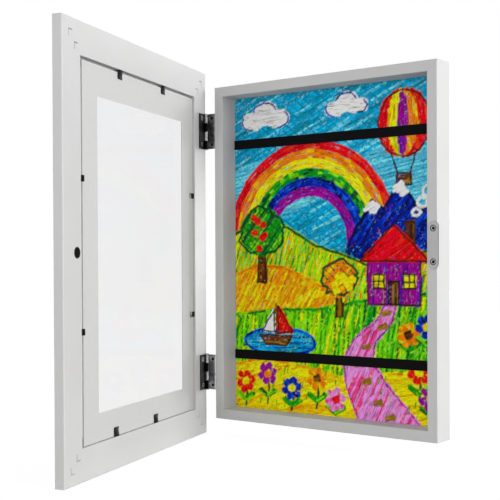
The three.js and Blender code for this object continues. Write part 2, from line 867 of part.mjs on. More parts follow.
// The mat is smaller than the door's rabbet, so a gap shows beside it. Its window widens
// towards the front of the door by the mat's own thickness.
function mat() {
  const width = doorWidth - 2 * railWidth - matGaps.free - matGaps.hinge;
  const height = doorHeight - 2 * railWidth - matGaps.top - matGaps.bottom;
  const x = (matGaps.hinge - matGaps.free) / 2;
  const y = doorInsideY - matBackDepth - matThickness / 2;
  const z = (matGaps.bottom - matGaps.top) / 2;
  const board = block(width, matThickness, height, new THREE.Vector3(x, y, z));
  const depth = matThickness + 2 * cutOverrun;
  const windowWidth = width - matBorders.free - matBorders.hinge;
  const windowHeight = height - matBorders.top - matBorders.bottom;
  const window = new THREE.BoxGeometry(windowWidth, depth, windowHeight);
  const position = window.getAttribute("position");
  for (let i = 0; i < position.count; i++) {
    const widening = depth / 2 - cutOverrun - position.getY(i);
    position.setX(i, position.getX(i) + Math.sign(position.getX(i)) * widening);
    position.setZ(i, position.getZ(i) + Math.sign(position.getZ(i)) * widening);
  }
  const windowX = x + (matBorders.hinge - matBorders.free) / 2;
  const windowZ = z + (matBorders.bottom - matBorders.top) / 2;
  window.translate(windowX, y, windowZ);
  return piece("mat_board", cut(board, window), matBoard);
}

function magnet() {
  const at = new THREE.Vector3(magnetX, doorInsideY + magnetProud, magnetZ);
  const innerRadius = magnetCupRadius - magnetCupWall;
  const floor = -magnetCupDepth + magnetCupWall;
  const cup = turned(
    [
      [0, -magnetCupDepth],
      [magnetCupRadius, -magnetCupDepth],
      [magnetCupRadius, 0],
      [innerRadius, 0],
      [innerRadius, floor],
      [0, floor],
    ],
    discSegments,
  );
  const discRadius = innerRadius - magnetDiscClearance;
  const disc = turned(
    [
      [0, floor + magnetDiscClearance],
      [discRadius, floor + magnetDiscClearance],
      [discRadius, 0],
      [0, 0],
    ],
    discSegments,
  );
  return [
    piece("magnet_cup", stand(cup, backward, at), blackPlastic),
    piece("magnet_disc", stand(disc, backward, at), blackSteel),
  ];
}

// The frame: the cabinet stands on the wall, and the door's pieces turn about the hinge axis.
const cabinet = new THREE.Group();
cabinet.add(...cabinetWalls(), backPanel(), artworkSheet(), ...straps());
cabinet.add(strikePlate(), ...strikeScrews(), ...hingesOnCabinet(), ...hangers());

const closedDoor = new THREE.Group();
closedDoor.add(...doorRails(), glazing(), mat(), ...tabs(), ...cornerNails());
closedDoor.add(...magnet(), ...hingesOnDoor());
closedDoor.position.set(-hingeAxisX, -hingeAxisY, 0);

const door = new THREE.Group();
door.add(closedDoor);
door.position.set(hingeAxisX, hingeAxisY, 0);
door.rotation.z = -THREE.MathUtils.degToRad(doorOpenDegrees);

const artFrame = new THREE.Group();
artFrame.add(cabinet, door);
export default artFrame;
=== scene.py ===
import math

import bmesh
import bpy
import numpy as np
from mathutils import Matrix, Vector


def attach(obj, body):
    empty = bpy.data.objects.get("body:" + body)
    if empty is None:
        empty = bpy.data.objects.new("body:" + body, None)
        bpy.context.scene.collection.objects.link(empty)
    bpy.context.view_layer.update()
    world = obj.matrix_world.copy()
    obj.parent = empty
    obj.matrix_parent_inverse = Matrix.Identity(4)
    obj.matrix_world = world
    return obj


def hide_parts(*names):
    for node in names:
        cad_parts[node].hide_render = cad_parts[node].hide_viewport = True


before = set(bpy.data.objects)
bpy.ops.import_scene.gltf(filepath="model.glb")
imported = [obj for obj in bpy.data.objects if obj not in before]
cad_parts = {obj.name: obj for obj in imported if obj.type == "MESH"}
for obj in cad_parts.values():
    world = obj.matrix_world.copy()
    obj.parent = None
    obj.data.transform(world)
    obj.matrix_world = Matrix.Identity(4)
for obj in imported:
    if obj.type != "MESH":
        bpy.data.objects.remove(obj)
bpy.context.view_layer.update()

# Children's art frame: a white cabinet that keeps a drawing behind two black elastic straps,
# and a hinged door with a mat, a clear sheet and spring tabs.
# Sizes and places are in millimetres. Door sizes are given with the door shut.

MM = 0.001

# Driving dimensions

# The sheet on show, and how far apart the points of its drawing are
SHEET_WIDTH = 215.4
SHEET_HEIGHT = 299.4
SHEET_FRONT = -3.05
SHEET_BACK = -2.75
SHEET_STEP = 0.85

HINGE_X = -128.5
HINGE_Y = -22.3
DOOR_ANGLE = 74.3
DOOR_INSIDE = -24.6

STRAP_HALF_LENGTH = 113
STRAP_MIDDLE = -3.5
STRAP_HEIGHTS = (105.1, -97.9)
STRAP_WEAVE = {
    "Breadth": 9.0,
    "Thickness": 0.8,
    "Edge Radius": 0.3,
    "Rib Pitch": 0.9,
    "Rib Depth": 0.08,
    "Step": 0.225,
}

# A tab's middle line: how far it reaches over the mat, and how deep it lies in the door
TAB_LINE = ((-5, 1.1), (0, 1.1), (4.65, 1.70), (7.5, 1.40))
TAB_THICKNESS = 0.5
END_TAB_WIDTH = 7.5
SIDE_TAB_WIDTH = 5.0
TAB_STRIP = {
    "Breadth": END_TAB_WIDTH,
    "Thickness": TAB_THICKNESS,
    "Bend Radius": 1.2,
    "Edge Radius": 0.15,
}
END_TAB_REACH_FROM = 149
SIDE_TAB_REACH_FROM = 106
TOP_TABS = (39.5, -41)
BOTTOM_TABS = (49, -23.5)
FREE_TABS = (56.5, -61)
HINGE_TABS = (54.5, -58)

HINGE_SCREW = {
    "Head Radius": 2.4,
    "Head Depth": 0.95,
    "Shank Radius": 1.15,
    "Length": 7.0,
    "Recess Length": 3.0,
    "Recess Width": 0.6,
}
STRIKE_SCREW = {
    "Head Radius": 2.0,
    "Head Depth": 0.7,
    "Shank Radius": 1.3,
    "Length": 10.8,
    "Recess Length": 3.2,
    "Recess Width": 1.7,
}
# The shank starts a little below the crown, and the recess goes through a share of the head
SHANK_SINK = 0.3
RECESS_DEPTH_SHARE = 0.75
CROWN_THICKNESS = 0.02
STRIKE_SCREW_SINK = 0.35
DOOR_SCREW_X = -121.6
DOOR_SCREW_Y = -23.5
WALL_SCREW_X = -118.55
WALL_SCREW_Y = -15
STRIKE_X = 114.1
STRIKE_Y = -24.05
STRIKE_SCREW_HEIGHTS = (19.4, -8.6)

HINGE_MIDDLES = (118, -115)
HINGE_SCREW_OFFSET = 12.6
BARE_HOLE_X = -121
BARE_HOLE_REACH = 1.5
KNUCKLE_REACH = 2.6
# How light a leaf's plate and its knuckles are, as wear and as painted light: on the door, and on the
# upper and lower wall leaf
# On the door, the knuckles' share is a painted highlight.
DOOR_LEAF_WEAR_AND_HIGHLIGHT = (0.06, 0.5)
# On the wall leaves, the knuckles are left black as painted shade, and the lower leaf is painted
# lighter than the upper one as a painted reflection.
WALL_LEAF_WEAR_AND_PAINTED_LIGHT = ((0.28, 0), (1.2, 0))

BOARD_EDGE_ROUNDING = 0.35
SHEET_METAL_ROUNDING = 0.12
CURVED_FACE_WIDTH = 1.0
MERGE_DISTANCE = 0.001
FLAT_ANGLE = 0.5
SHARP_ANGLE = 40
# Between which shares a mitred end faces up or down, and above which the plate's faces look out
MITRE_SHARES = (0.6, 0.8)
PLATE_FRONT_SHARE = 0.9

# The families of nodes, and the length of one wave of a wave texture whose scale is 1
FAMILIES = ("ShaderNode", "GeometryNode", "FunctionNode", "Node")
WAVE_LENGTH = math.pi / 10


def linear(colour):
    """Turns an sRGB hex colour into the linear numbers that shaders take."""
    parts = [int(colour[i : i + 2], 16) / 255 for i in (1, 3, 5)]
    return (*(c / 12.92 if c <= 0.04045 else ((c + 0.055) / 1.055) ** 2.4 for c in parts), 1)


def fill(tree, socket, value):
    """Fills an input with a number, a hex colour, or a link from an output or a node's first one."""
    if isinstance(value, bpy.types.Node):
        value = next(output for output in value.outputs if output.enabled)
    if isinstance(value, bpy.types.NodeSocket):
        tree.links.new(value, socket)
    else:
        socket.default_value = linear(value) if socket.type == "RGBA" else value


def add(tree, kind, inputs=(), **settings):
    """Adds a node with its settings, and fills its inputs, which are given in order or by name.
    In order, a noise takes its place, its scale and its detail, and a wave its waviness before
    its detail. A list links several outputs to one input. The kind is the name of a type without
    the family that stands in front."""
    kinds = [family + kind for family in FAMILIES if hasattr(bpy.types, family + kind)]
    node = tree.nodes.new(kinds[0])
    for name, value in settings.items():
        setattr(node, name, value)
    in_use = [socket for socket in node.inputs if socket.enabled]
    named = inputs if isinstance(inputs, dict) else dict(enumerate(inputs))
    for key, value in named.items():
        socket = in_use[key] if isinstance(key, int) else node.inputs[key]
        for source in value if isinstance(value, list) else [value]:
            fill(tree, socket, source)
    return node


def started(name, numbers):
    """Starts a material: its shader's own numbers, and the place on the object in millimetres."""
    material = bpy.data.materials.new(name)
    material.use_nodes = True
    tree = material.node_tree
    for socket, value in numbers.items():
        fill(tree, tree.nodes["Principled BSDF"].inputs[socket], value)
    place = add(tree, "TexCoord").outputs["Object"]
    place = add(tree, "VectorMath", (place, 1 / MM), operation="SCALE")
    return material, tree, place


def surfaced(material, colour, rough, relief):
    """Ends a material. Its colour and its roughness each follow a pattern from a low to a high
    value, or the colour is a node already. A pattern raises it by a height in millimetres."""
    tree = material.node_tree
    if isinstance(colour, tuple):
        colour = add(tree, "Mix", colour, data_type="RGBA")
    rough = add(tree, "MapRange", dict(zip(("Value", "To Min", "To Max"), rough)))
    pattern, height = relief
    bump = add(tree, "Bump", {"Height": pattern, "Distance": height * MM, "Strength": 1})
    inputs = tree.nodes["Principled BSDF"].inputs
    for name, node in {"Base Color": colour, "Roughness": rough, "Normal": bump}.items():
        fill(tree, inputs[name], node)
    return material


def shared_with(material, share, other):
    """Ends a material whose own shader leaves a share to another one."""
    tree = material.node_tree
    both = add(tree, "MixShader", (share, tree.nodes["Principled BSDF"], other))
    fill(tree, tree.nodes["Material Output"].inputs["Surface"], both)
    return material


def sprayed_lacquer_on_fibreboard():
    # White satin lacquer, sprayed on fibreboard and baked: a soft, wide highlight, the faint
    # orange peel of the spray gun, and very slight clouds where the coats differ.
    # The peel's cells are about 0.8 mm and are drawn at 1.6 mm, so that they show.
    cloud_size, wipe_size, cell_size = 55, 24, 1.6
    numbers = {"IOR": 1.5, "Specular IOR Level": 0.3}
    material, tree, place = started("sprayed_lacquer_on_fibreboard", numbers)
    clouds = add(tree, "TexNoise", (place, 1 / cloud_size, 3))
    wiped = add(tree, "TexNoise", (place, 1 / wipe_size, 4))
    peel = add(tree, "TexNoise", (place, 1 / cell_size, 2))
    return surfaced(material, (clouds, "#d1d1d0", "#d9d9d9"), (wiped, 0.38, 0.52), (peel, 0.012))


def faced_hardboard():
    # White faced hardboard, pressed on a wire screen: matt, with the screen's fine grid in it.
    # The wires are 1.5 mm apart and are drawn at 2.5 mm, so that they show.
    blotch_size, wire_pitch, waviness = 9, 2.5, 0.4
    material, tree, place = started("faced_hardboard", {"IOR": 1.5})
    mottle = add(tree, "TexNoise", (place, 1 / blotch_size, 5))
    wires = (place, WAVE_LENGTH / wire_pitch, waviness, 1)
    wires = [add(tree, "TexWave", wires, bands_direction=axis) for axis in "XZ"]
    screen = [wire.outputs["Fac"] for wire in wires]
    screen = add(tree, "Math", screen, operation="MULTIPLY")
    return surfaced(material, (mottle, "#c9c8c4", "#d6d5d1"), (mottle, 0.62, 0.8), (screen, 0.05))


def white_mat_board():
    # Mat board, pressed from paper pulp and faced with white paper: matt, with short soft
    # fibres, and a whiter core that shows where the window's bevel is cut.
    fibre_size = 2.2
    numbers = {"IOR": 1.45, "Specular IOR Level": 0.2}
    material, tree, place = started("white_mat_board", numbers)
    fibres = add(tree, "TexNoise", (place, 1 / fibre_size, 6))
    facing = add(tree, "TexCoord").outputs["Normal"]
    flat = add(tree, "VectorMath", (facing, door_normal()), operation="DOT_PRODUCT")
    flat = add(tree, "Math", (flat,), operation="ABSOLUTE")
    core = {"Value": flat, "From Min": 0.75, "From Max": 0.95, "To Min": 1, "To Max": 0}
    core = add(tree, "MapRange", core)
    paper = add(tree, "Mix", (fibres, "#cfcfce", "#d8d8d7"), data_type="RGBA")
    colour = add(tree, "Mix", (core, paper, "#eeeeec"), data_type="RGBA")
    return surfaced(material, colour, (fibres, 0.75, 0.92), (fibres, 0.02))


def anti_glare_acrylic():
    # Cast acrylic with an anti-glare coat: clear, with hardly a reflection, which its IOR stands
    # for, a little light lost in it, and faint smears where it was wiped.
    # It lets light through to what lies behind it.
    tint, smear_size = "#f0f0f1", 40
    numbers = {"Base Color": tint, "IOR": 1.1, "Transmission Weight": 1}
    material, tree, place = started("anti_glare_acrylic", numbers)
    smears = add(tree, "TexNoise", (place, 1 / smear_size, 3))
    rough = add(tree, "MapRange", {"Value": smears, "To Min": 0, "To Max": 0.03})
    fill(tree, tree.nodes["Principled BSDF"].inputs["Roughness"], rough)
    path = add(tree, "LightPath").outputs
    lighting = (path["Is Shadow Ray"], path["Is Diffuse Ray"])
    lighting = add(tree, "Math", lighting, operation="MAXIMUM")
    clear = add(tree, "BsdfTransparent", (tint,))
    return shared_with(material, lighting, clear)


def blackened_spring_steel():
    # Spring steel, stamped and blackened in hot salts: nearly black, a tight oily highlight, and
    # lighter where the tool rubbed it.
    rub_size = 1.8
    material, tree, place = started("blackened_spring_steel", {"Metallic": 1})
    rubbed = add(tree, "TexNoise", (place, 1 / rub_size, 5))
    return surfaced(material, (rubbed, "#0a0a0b", "#2e2e30"), (rubbed, 0.26, 0.44), (rubbed, 0.02))


def black_nickel_on_steel():
    # Black nickel, plated on rolled hinge steel: near black, worn through to grey steel where the
    # knuckles rub and hands touch it, in streaks that run up the leaf as it was rolled. Each face
    # carries its own share, which is wear and also painted light: a painted highlight on the door's
    # knuckles, painted shade on the wall's knuckles and a painted reflection on the lower wall leaf.
    # Real streaks are 0.2 mm wide, and these are 0.7 mm, so that they show.
    streak_width, streak_share, patch_size = 0.7, 0.09, 4
    material, tree, place = started("black_nickel_on_steel", {"Metallic": 1})
    wear = add(tree, "Attribute", attribute_name="wear").outputs["Fac"]
    along = add(tree, "Mapping", {"Vector": place, "Scale": (1, 1, streak_share)})
    streaks = add(tree, "TexNoise", (along, 1 / streak_width, 4))
    patches = add(tree, "TexNoise", (place, 1 / patch_size, 3))
    uneven = add(tree, "Math", (streaks, patches), operation="ADD")
    spread = {"Value": uneven, "From Min": 0.75, "From Max": 1.25, "To Min": 0.3, "To Max": 1.7}
    spread = add(tree, "MapRange", spread)
    worn_and_lit = add(tree, "Math", (wear, spread), operation="MULTIPLY")
    return surfaced(material, (worn_and_lit, "#0a0a0b", "#c2c2c4"), (streaks, 0.44, 0.3), (streaks, 0.015))


def nickel_plated_screw_steel():
    # Screws turned from steel wire and nickel plated: bright flat heads with a soft shine, and
    # painted shade, nearly black, in the cross recess and under the head.
    scuff_size = 1.2
    material, tree, place = started("nickel_plated_screw_steel", {"Metallic": 1})
    crown = add(tree, "Attribute", attribute_name="crown").outputs["Fac"]
    handled = add(tree, "TexNoise", (place, 1 / scuff_size, 4))
    plated = {"Value": handled, "From Min": 0.3, "From Max": 0.7, "To Min": 0.7}
    plated = add(tree, "MapRange", plated)
    bright = add(tree, "Math", (crown, plated), operation="MULTIPLY")
    return surfaced(material, (bright, "#1b1b1c", "#d6d6d8"), (handled, 0.34, 0.5), (handled, 0.01))


def zinc_plated_steel(name, low, high):
    # Steel with a zinc coat: pale grey metal with the faint spangle that the zinc sets in.
    spangle_size, grain_size = 3.2, 0.8
    material, tree, place = started(name, {"Metallic": 1})
    spangle = add(tree, "TexVoronoi", (place, 1 / spangle_size)).outputs["Color"]
    grain = add(tree, "TexNoise", (place, 1 / grain_size, 3))
    return surfaced(material, (spangle, low, high), (spangle, 0.34, 0.5), (grain, 0.01))


def satin_nickel_plate():
    # Satin nickel on strip steel, brushed up and down and then stamped: a soft grey sheen with
    # fine upright lines, and near black where the press cut its edge and its holes, as painted shade.
    # The real lines are about 0.1 mm wide, and these are 0.4 mm, so that they show.
    line_width, line_share = 0.4, 0.04
    material, tree, place = started("satin_nickel_plate", {"Metallic": 1})
    cut = add(tree, "Attribute", attribute_name="cut").outputs["Fac"]
    along = add(tree, "Mapping", {"Vector": place, "Scale": (1, 1, line_share)})
    brushed = add(tree, "TexNoise", (along, 1 / line_width, 3))
    sheen = add(tree, "Mix", (brushed, "#888888", "#a8a8a8"), data_type="RGBA")
    colour = add(tree, "Mix", (cut, sheen, "#0e0e0f"), data_type="RGBA")
    return surfaced(material, colour, (brushed, 0.34, 0.5), (brushed, 0.01))


def moulded_black_abs():
    # Black ABS, moulded in a spark-eroded tool: matt black with a fine even grain.
    grain_size = 0.5
    material, tree, place = started("moulded_black_abs", {"IOR": 1.53})
    grain = add(tree, "TexNoise", (place, 1 / grain_size, 2))
    return surfaced(material, (grain, "#0e0e0f", "#19191a"), (grain, 0.5, 0.65), (grain, 0.02))


def epoxy_coated_magnet():
    # Ferrite magnet with a black epoxy coat: smooth, with a soft spot of gloss and light scuffs
    # where the strike plate knocks on it.
    scuff_size = 1.1
    numbers = {"IOR": 1.55, "Specular IOR Level": 0.06}
    material, tree, place = started("epoxy_coated_magnet", numbers)
    scuffs = add(tree, "TexNoise", (place, 1 / scuff_size, 5))
    return surfaced(material, (scuffs, "#050506", "#141416"), (scuffs, 0.25, 0.5), (scuffs, 0.01))


def woven_black_elastic():
    # Elastic tape, woven of polyester over rubber: near black and dull, because the yarns catch
    # the light between them, with cross ribs and lengthwise cords. The cords are 0.8 mm apart.
    cord_pitch, waviness, fluff_size, fluff_share = 0.8, 0.3, 0.4, 0.5
    numbers = {"IOR": 1.5, "Specular IOR Level": 0.08}
    material, tree, place = started("woven_black_elastic", numbers)
    cords = (place, WAVE_LENGTH / cord_pitch, waviness, 2)
    cords = add(tree, "TexWave", cords, bands_direction="Z").outputs["Fac"]
    fluff = add(tree, "TexNoise", (place, 1 / fluff_size, 3))
    yarn = add(tree, "Mix", (fluff_share, cords, fluff), data_type="RGBA")
    return surfaced(material, (yarn, "#050506", "#151517"), (yarn, 0.78, 0.95), (yarn, 0.05))


def wax_crayon_on_paper():
    # Wax crayon rubbed hard on drawing paper: strong colours with hardly a shine, thicker and
    # thinner streaks along each stroke, and a few flecks of bare paper where the wax skips over
    # its tooth. The sheet carries the wax's colour, its cover and the stroke's direction.
    # The tooth is about 0.3 mm and is drawn at 0.6 mm, so that it shows.
    streak_width, streak_share, tooth_size, tooth_share = 1.3, 0.16, 0.6, 0.55
    numbers = {"IOR": 1.45, "Specular IOR Level": 0.06}
    material, tree, place = started("wax_crayon_on_paper", numbers)
    wax = add(tree, "Attribute", attribute_name="wax").outputs
    pull = add(tree, "Attribute", attribute_name="pull").outputs["Vector"]
    side = add(tree, "VectorMath", (pull, (0, 1, 0)), operation="CROSS_PRODUCT")
    along = add(tree, "VectorMath", (place, pull), operation="DOT_PRODUCT")
    off = add(tree, "VectorMath", (place, side), operation="DOT_PRODUCT")
    stroke = add(tree, "CombineXYZ", (along, off))
    streaks = add(tree, "Mapping", {"Vector": stroke, "Scale": (streak_share, 1, 1)})
    streaks = add(tree, "TexNoise", (streaks, 1 / streak_width, 3))
    tooth = add(tree, "Mapping", {"Vector": stroke, "Scale": (tooth_share, 1, 1)})
    tooth = add(tree, "TexNoise", (tooth, 1 / tooth_size, 2))
    skips = add(tree, "Math", (streaks, tooth), operation="ADD")
    kept = {"Value": skips, "From Min": 1.24, "From Max": 1.44, "To Min": 1, "To Max": 0.3}
    kept = add(tree, "MapRange", kept)
    cover = add(tree, "Math", (kept, wax["Alpha"]), operation="MULTIPLY")
    light = {"Value": streaks, "From Min": 0.32, "From Max": 0.68, "To Min": 0.5, "To Max": 1.6}
    light = add(tree, "MapRange", light)
    tone = add(tree, "VectorMath", (wax["Color"], light), operation="SCALE")
    tone = add(tree, "VectorMath", (tone, (1, 1, 1)), operation="MINIMUM")
    colour = add(tree, "Mix", (cover, PAPER, tone), data_type="RGBA")
    # The light that the drawing passes on is nearly grey, so that the walls beside it stay white.
    grey = add(tree, "RGBToBW", (colour,))
    bounced = add(tree, "LightPath").outputs["Is Diffuse Ray"]
    bounced = add(tree, "Math", (bounced, PASSED_ON_GREY_SHARE), operation="MULTIPLY")
    colour = add(tree, "Mix", (bounced, colour, grey), data_type="RGBA")
    height = add(tree, "Math", (cover, streaks), operation="MULTIPLY")
    return surfaced(material, colour, (cover, 0.85, 0.6), (height, 0.06))


# The drawing: a made-up landscape in wax crayon, worked out here stroke by stroke
PAPER = "#f2f0ea"
PASSED_ON_GREY_SHARE = 0.8
CRAYONS = {
    "sky": "#04b0e4",
    "pale sky": "#6edcf8",
    "teal": "#0090b0",
    "blue": "#0450e0",
    "deep blue": "#0022b0",
    "navy": "#030c50",
    "lime": "#84ea00",
    "green": "#0ca412",
    "dark green": "#025224",
    "yellow": "#fff400",
    "gold": "#ffc400",
    "orange": "#ff8200",
    "orange red": "#ff3a10",
    "red": "#f00014",
    "rose": "#ff3c8c",
    "purple": "#a40498",
    "violet": "#6c0ca8",
    "pink": "#f890e4",
    "brown": "#6e3410",
    "dark brown": "#3c1c08",
    "ochre": "#9a7410",
    "black": "#0c0c0c",
    "white": "#fffefa",
}
# For so many strokes of a crayon, each of these others is used once
MIXED_IN = {
    "sky": (4, ("teal", "pale sky")),
    "deep blue": (3, ("navy", "blue")),
    "lime": (3, ("green", "yellow")),
    "green": (3, ("lime", "dark green")),
    "yellow": (4, ("gold",)),
    "gold": (3, ("orange", "yellow")),
    "orange": (3, ("gold",)),
    "red": (4, ("orange red",)),
    "purple": (3, ("violet",)),
    "pink": (3, ("rose",)),
    "brown": (2, ("dark brown", "ochre")),
}
DRAWING_SEED = 7
# The widths of a crayon's line
BROAD = 3.0
MIDDLING = 2.3
FINE = 1.5

# How far the hand and the crayon stray
BRIGHTNESS_SHARES = (0.72, 1.25)
WIDTH_SHARES = (0.8, 1.25)
LINE_WIDTH_SHARES = (0.8, 1.2)
PRESSURE_SHARES = (0.9, 1.08)
OVERLAP_SHARES = (-0.1, 0.02)
PULL_LENGTHS = (14, 34)
PULL_SHIFT = 0.3
LINE_STEP = 5
LINE_WOBBLE = 0.35
TOOTH_SOFTNESS = 0.3
TOOTH_SPREAD_SHARE = 0.2
# A stroke covers the points within its reach, and breaks where they are farther apart than a gap
STROKE_REACH = 0.75 * SHEET_STEP
STROKE_GAP = 2.2 * SHEET_STEP


class Drawing:
    """A sheet of paper as a grid of points, and the wax that each crayon leaves on it."""

    def __init__(self):
        self.random = np.random.default_rng(DRAWING_SEED)
        self.x, self.z = (
            np.linspace(-size / 2, size / 2, round(size / SHEET_STEP) + 1)
            for size in (SHEET_WIDTH, SHEET_HEIGHT)
        )
        self.across, self.up = np.meshgrid(self.x, self.z)
        self.colour = np.ones((*self.across.shape, 3)) * linear(PAPER)[:3]
        self.wax = np.zeros(self.across.shape)
        self.pull = np.zeros((*self.across.shape, 2))
        self.pull[..., 0] = 1
        tooth = self.random.random(self.across.shape)
        for axis in (0, 1):
            beside = np.roll(tooth, 1, axis) + np.roll(tooth, -1, axis)
            tooth = tooth + TOOTH_SPREAD_SHARE * beside
        self.tooth = tooth.ravel().argsort().argsort().reshape(tooth.shape) / tooth.size

    def rub(self, start, end, width, colour, pressure):
        """One straight rub of a crayon, whose wax catches on the tooth of the paper."""
        low = np.minimum(start, end) - width
        high = np.maximum(start, end) + width
        columns = slice(*np.searchsorted(self.x, (low[0], high[0])))
        part = (slice(*np.searchsorted(self.z, (low[1], high[1]))), columns)
        x = self.across[part] - start[0]
        z = self.up[part] - start[1]
        if not x.size:
            return
        length = max(math.hypot(*(end - start)), SHEET_STEP)
        way = (end - start) / length
        along = np.clip(x * way[0] + z * way[1], 0, length)
        off = np.hypot(x - along * way[0], z - along * way[1])
        cover = np.clip((width / 2 - off) / SHEET_STEP + 0.5, 0, 1)
        cover *= np.clip((pressure - self.tooth[part]) / TOOTH_SOFTNESS + 0.5, 0, 1)
        total = cover + self.wax[part] * (1 - cover)
        share = (cover / np.maximum(total, 1e-6))[..., None]
        self.colour[part] += share * (colour - self.colour[part])
        self.wax[part] = total
        self.pull[part][cover > 0.5] = way

    def shade(self, name):
        """One stroke's colour: its crayon's, or now and then that of a crayon used along with it."""
        strokes, others = MIXED_IN.get(name, (1, ()))
        used = self.random.choice((name,) * strokes + others)
        return np.array(linear(CRAYONS[used])[:3]) * self.random.uniform(*BRIGHTNESS_SHARES)

    def scribble(self, where, name, angle, width=BROAD, spacing=2.0, pressure=1.0):
        """Fills the points of a mask with a crayon that goes to and fro at an angle."""
        rows, columns = np.nonzero(where)
        if not len(rows):
            return
        way = np.array([math.cos(math.radians(angle)), math.sin(math.radians(angle))])
        side = np.array([-way[1], way[0]])
        spots = np.stack([self.x[columns], self.z[rows]], 1)
        along = spots @ way
        off = spots @ side
        for level in np.arange(off.min() + spacing / 2, off.max(), spacing):
            line = np.sort(along[np.abs(off - level) < STROKE_REACH])
            if not len(line):
                continue
            breaks = np.flatnonzero(np.diff(line) > STROKE_GAP)
            starts = np.append(line[0], line[breaks + 1])
            ends = np.append(line[breaks], line[-1])
            for begin, finish in zip(starts, ends):
                self.pulls(begin, finish, level * side, way, width, name, pressure)

    def pulls(self, begin, finish, offset, way, width, name, pressure):
        """Covers one line of a scribble in a few pulls, each a little off the last."""
        at = begin
        while at < finish:
            reach = min(at + self.random.uniform(*PULL_LENGTHS), finish)
            start = way * at + offset + self.random.normal(0, PULL_SHIFT, 2)
            end = way * reach + offset + self.random.normal(0, PULL_SHIFT, 2)
            thick = width * self.random.uniform(*WIDTH_SHARES)
            colour = self.shade(name)
            self.rub(start, end, thick, colour, pressure * self.random.uniform(*PRESSURE_SHARES))
            at = reach + self.random.uniform(*OVERLAP_SHARES) * PULL_LENGTHS[0]

    def trace(self, points, name, width=MIDDLING, pressure=1.05, closed=False):
        """Draws a line through points with an unsteady hand."""
        points = np.asarray(points, float)
        if closed:
            points = np.vstack([points, points[:1]])
        fine = []
        for start, end in zip(points[:-1], points[1:]):
            count = max(int(math.hypot(*(end - start)) / LINE_STEP), 1)
            fine.extend(start + (end - start) * i / count for i in range(count))
        fine = np.array([*fine, points[-1]])
        fine += self.random.normal(0, LINE_WOBBLE, fine.shape)
        for start, end in zip(fine[:-1], fine[1:]):
            thick = width * self.random.uniform(*LINE_WIDTH_SHARES)
            self.rub(start, end, thick, self.shade(name), pressure)

    def polygon(self, corners):
        """A mask of the points inside a polygon."""
        inside = np.zeros(self.across.shape, bool)
        for (x, z), (last_x, last_z) in zip(corners, (corners[-1], *corners[:-1])):
            if z != last_z:
                edge = (last_x - x) * (self.up - z) / (last_z - z) + x
                inside ^= ((z > self.up) != (last_z > self.up)) & (self.across < edge)
        return inside

    def oval(self, centre, radii, tilt=0):
        """A mask of the points inside an oval."""
        turn = math.radians(tilt)
        dx = self.across - centre[0]
        dz = self.up - centre[1]
        u = dx * math.cos(turn) + dz * math.sin(turn)
        v = dz * math.cos(turn) - dx * math.sin(turn)
        return (u / radii[0]) ** 2 + (v / radii[1]) ** 2 <= 1

    def below(self, skyline):
        """A mask of the points under a line of hills."""
        return self.up < np.interp(self.across, *zip(*skyline))

    def patch(self, corners, name, angle, outline=None, width=BROAD):
        """Fills a polygon and draws its outline."""
        self.scribble(self.polygon(corners), name, angle, width)
        if outline:
            self.trace(corners, outline, FINE, closed=True)


def around(centre, radii, angle):
    """The place on an oval at an angle."""
    return centre[0] + radii[0] * np.cos(angle), centre[1] + radii[1] * np.sin(angle)


def ring(centre, radii, start=0, finish=360, count=28):
    """Points round an oval from one angle to another."""
    return np.stack(around(centre, radii, np.radians(np.linspace(start, finish, count))), 1)


def upright_box(x, z, half_width, height):
    """The corners of an upright rectangle that stands on a point."""
    left, right, top = x - half_width, x + half_width, z + height
    return [(left, z), (right, z), (right, top), (left, top)]


def draw_sky(paper):
    air = paper.up > -20
    glow = paper.oval((96, 60), (70, 46)) | paper.oval((-70, 60), (50, 30))
    paper.scribble(air, "sky", 24, pressure=1.05)
    paper.scribble(air, "teal", -38, FINE, 6.0, 0.7)
    paper.scribble(glow, "pale sky", 10, MIDDLING, 3.4, 0.75)


def draw_clouds(paper):
    puffs = ((-15, -2, 12, 8, 150, 270), (0, 4, 14, 11, 20, 160), (15, -1, 12, 8, -90, 50))
    for x, z, size in ((-72, 128, 1.0), (18, 132, 0.8)):
        for dx, dz, wide, high, start, finish in puffs:
            middle = (x + dx * size, z + dz * size)
            radii = (wide * size, high * size)
            paper.scribble(paper.oval(middle, radii), "white", 0, pressure=1.4)
            paper.trace(ring(middle, radii, start, finish, 10), "deep blue", FINE)


def draw_rainbow(paper):
    centre, outer, band, rubs = (-22, 12), 92, 8.6, 3
    for i, name in enumerate(("red", "orange", "yellow", "green", "deep blue", "purple")):
        for j in range(rubs):
            radius = outer - (i + (j + 0.5) / rubs) * band
            paper.trace(ring(centre, (radius, radius), -6, 186, 40), name, BROAD * 1.1)


def draw_balloon(paper):
    centre, radii, basket_top = (76, 112), (25, 29), 68
    stripes = ("red", "yellow", "purple", "orange", "red")
    half_chord = np.sqrt(np.maximum(1 - ((paper.up - centre[1]) / radii[1]) ** 2, 1e-3)) * radii[0]
    share = ((paper.across - centre[0]) / half_chord + 1) / 2
    for i, name in enumerate(stripes):
        stripe = (share >= i / len(stripes)) & (share < (i + 1) / len(stripes))
        paper.scribble(paper.oval(centre, radii) & stripe, name, 82 + 4 * i)
    paper.trace(ring(centre, radii), "dark brown", FINE, closed=True)
    paper.patch(upright_box(centre[0], basket_top - 10, 7, 10), "brown", 0, "dark brown")
    for side in (-1, 1):
        rope = [(centre[0] + side * 13, centre[1] - 24), (centre[0] + side * 6, basket_top)]
        paper.trace(rope, "dark brown", FINE)


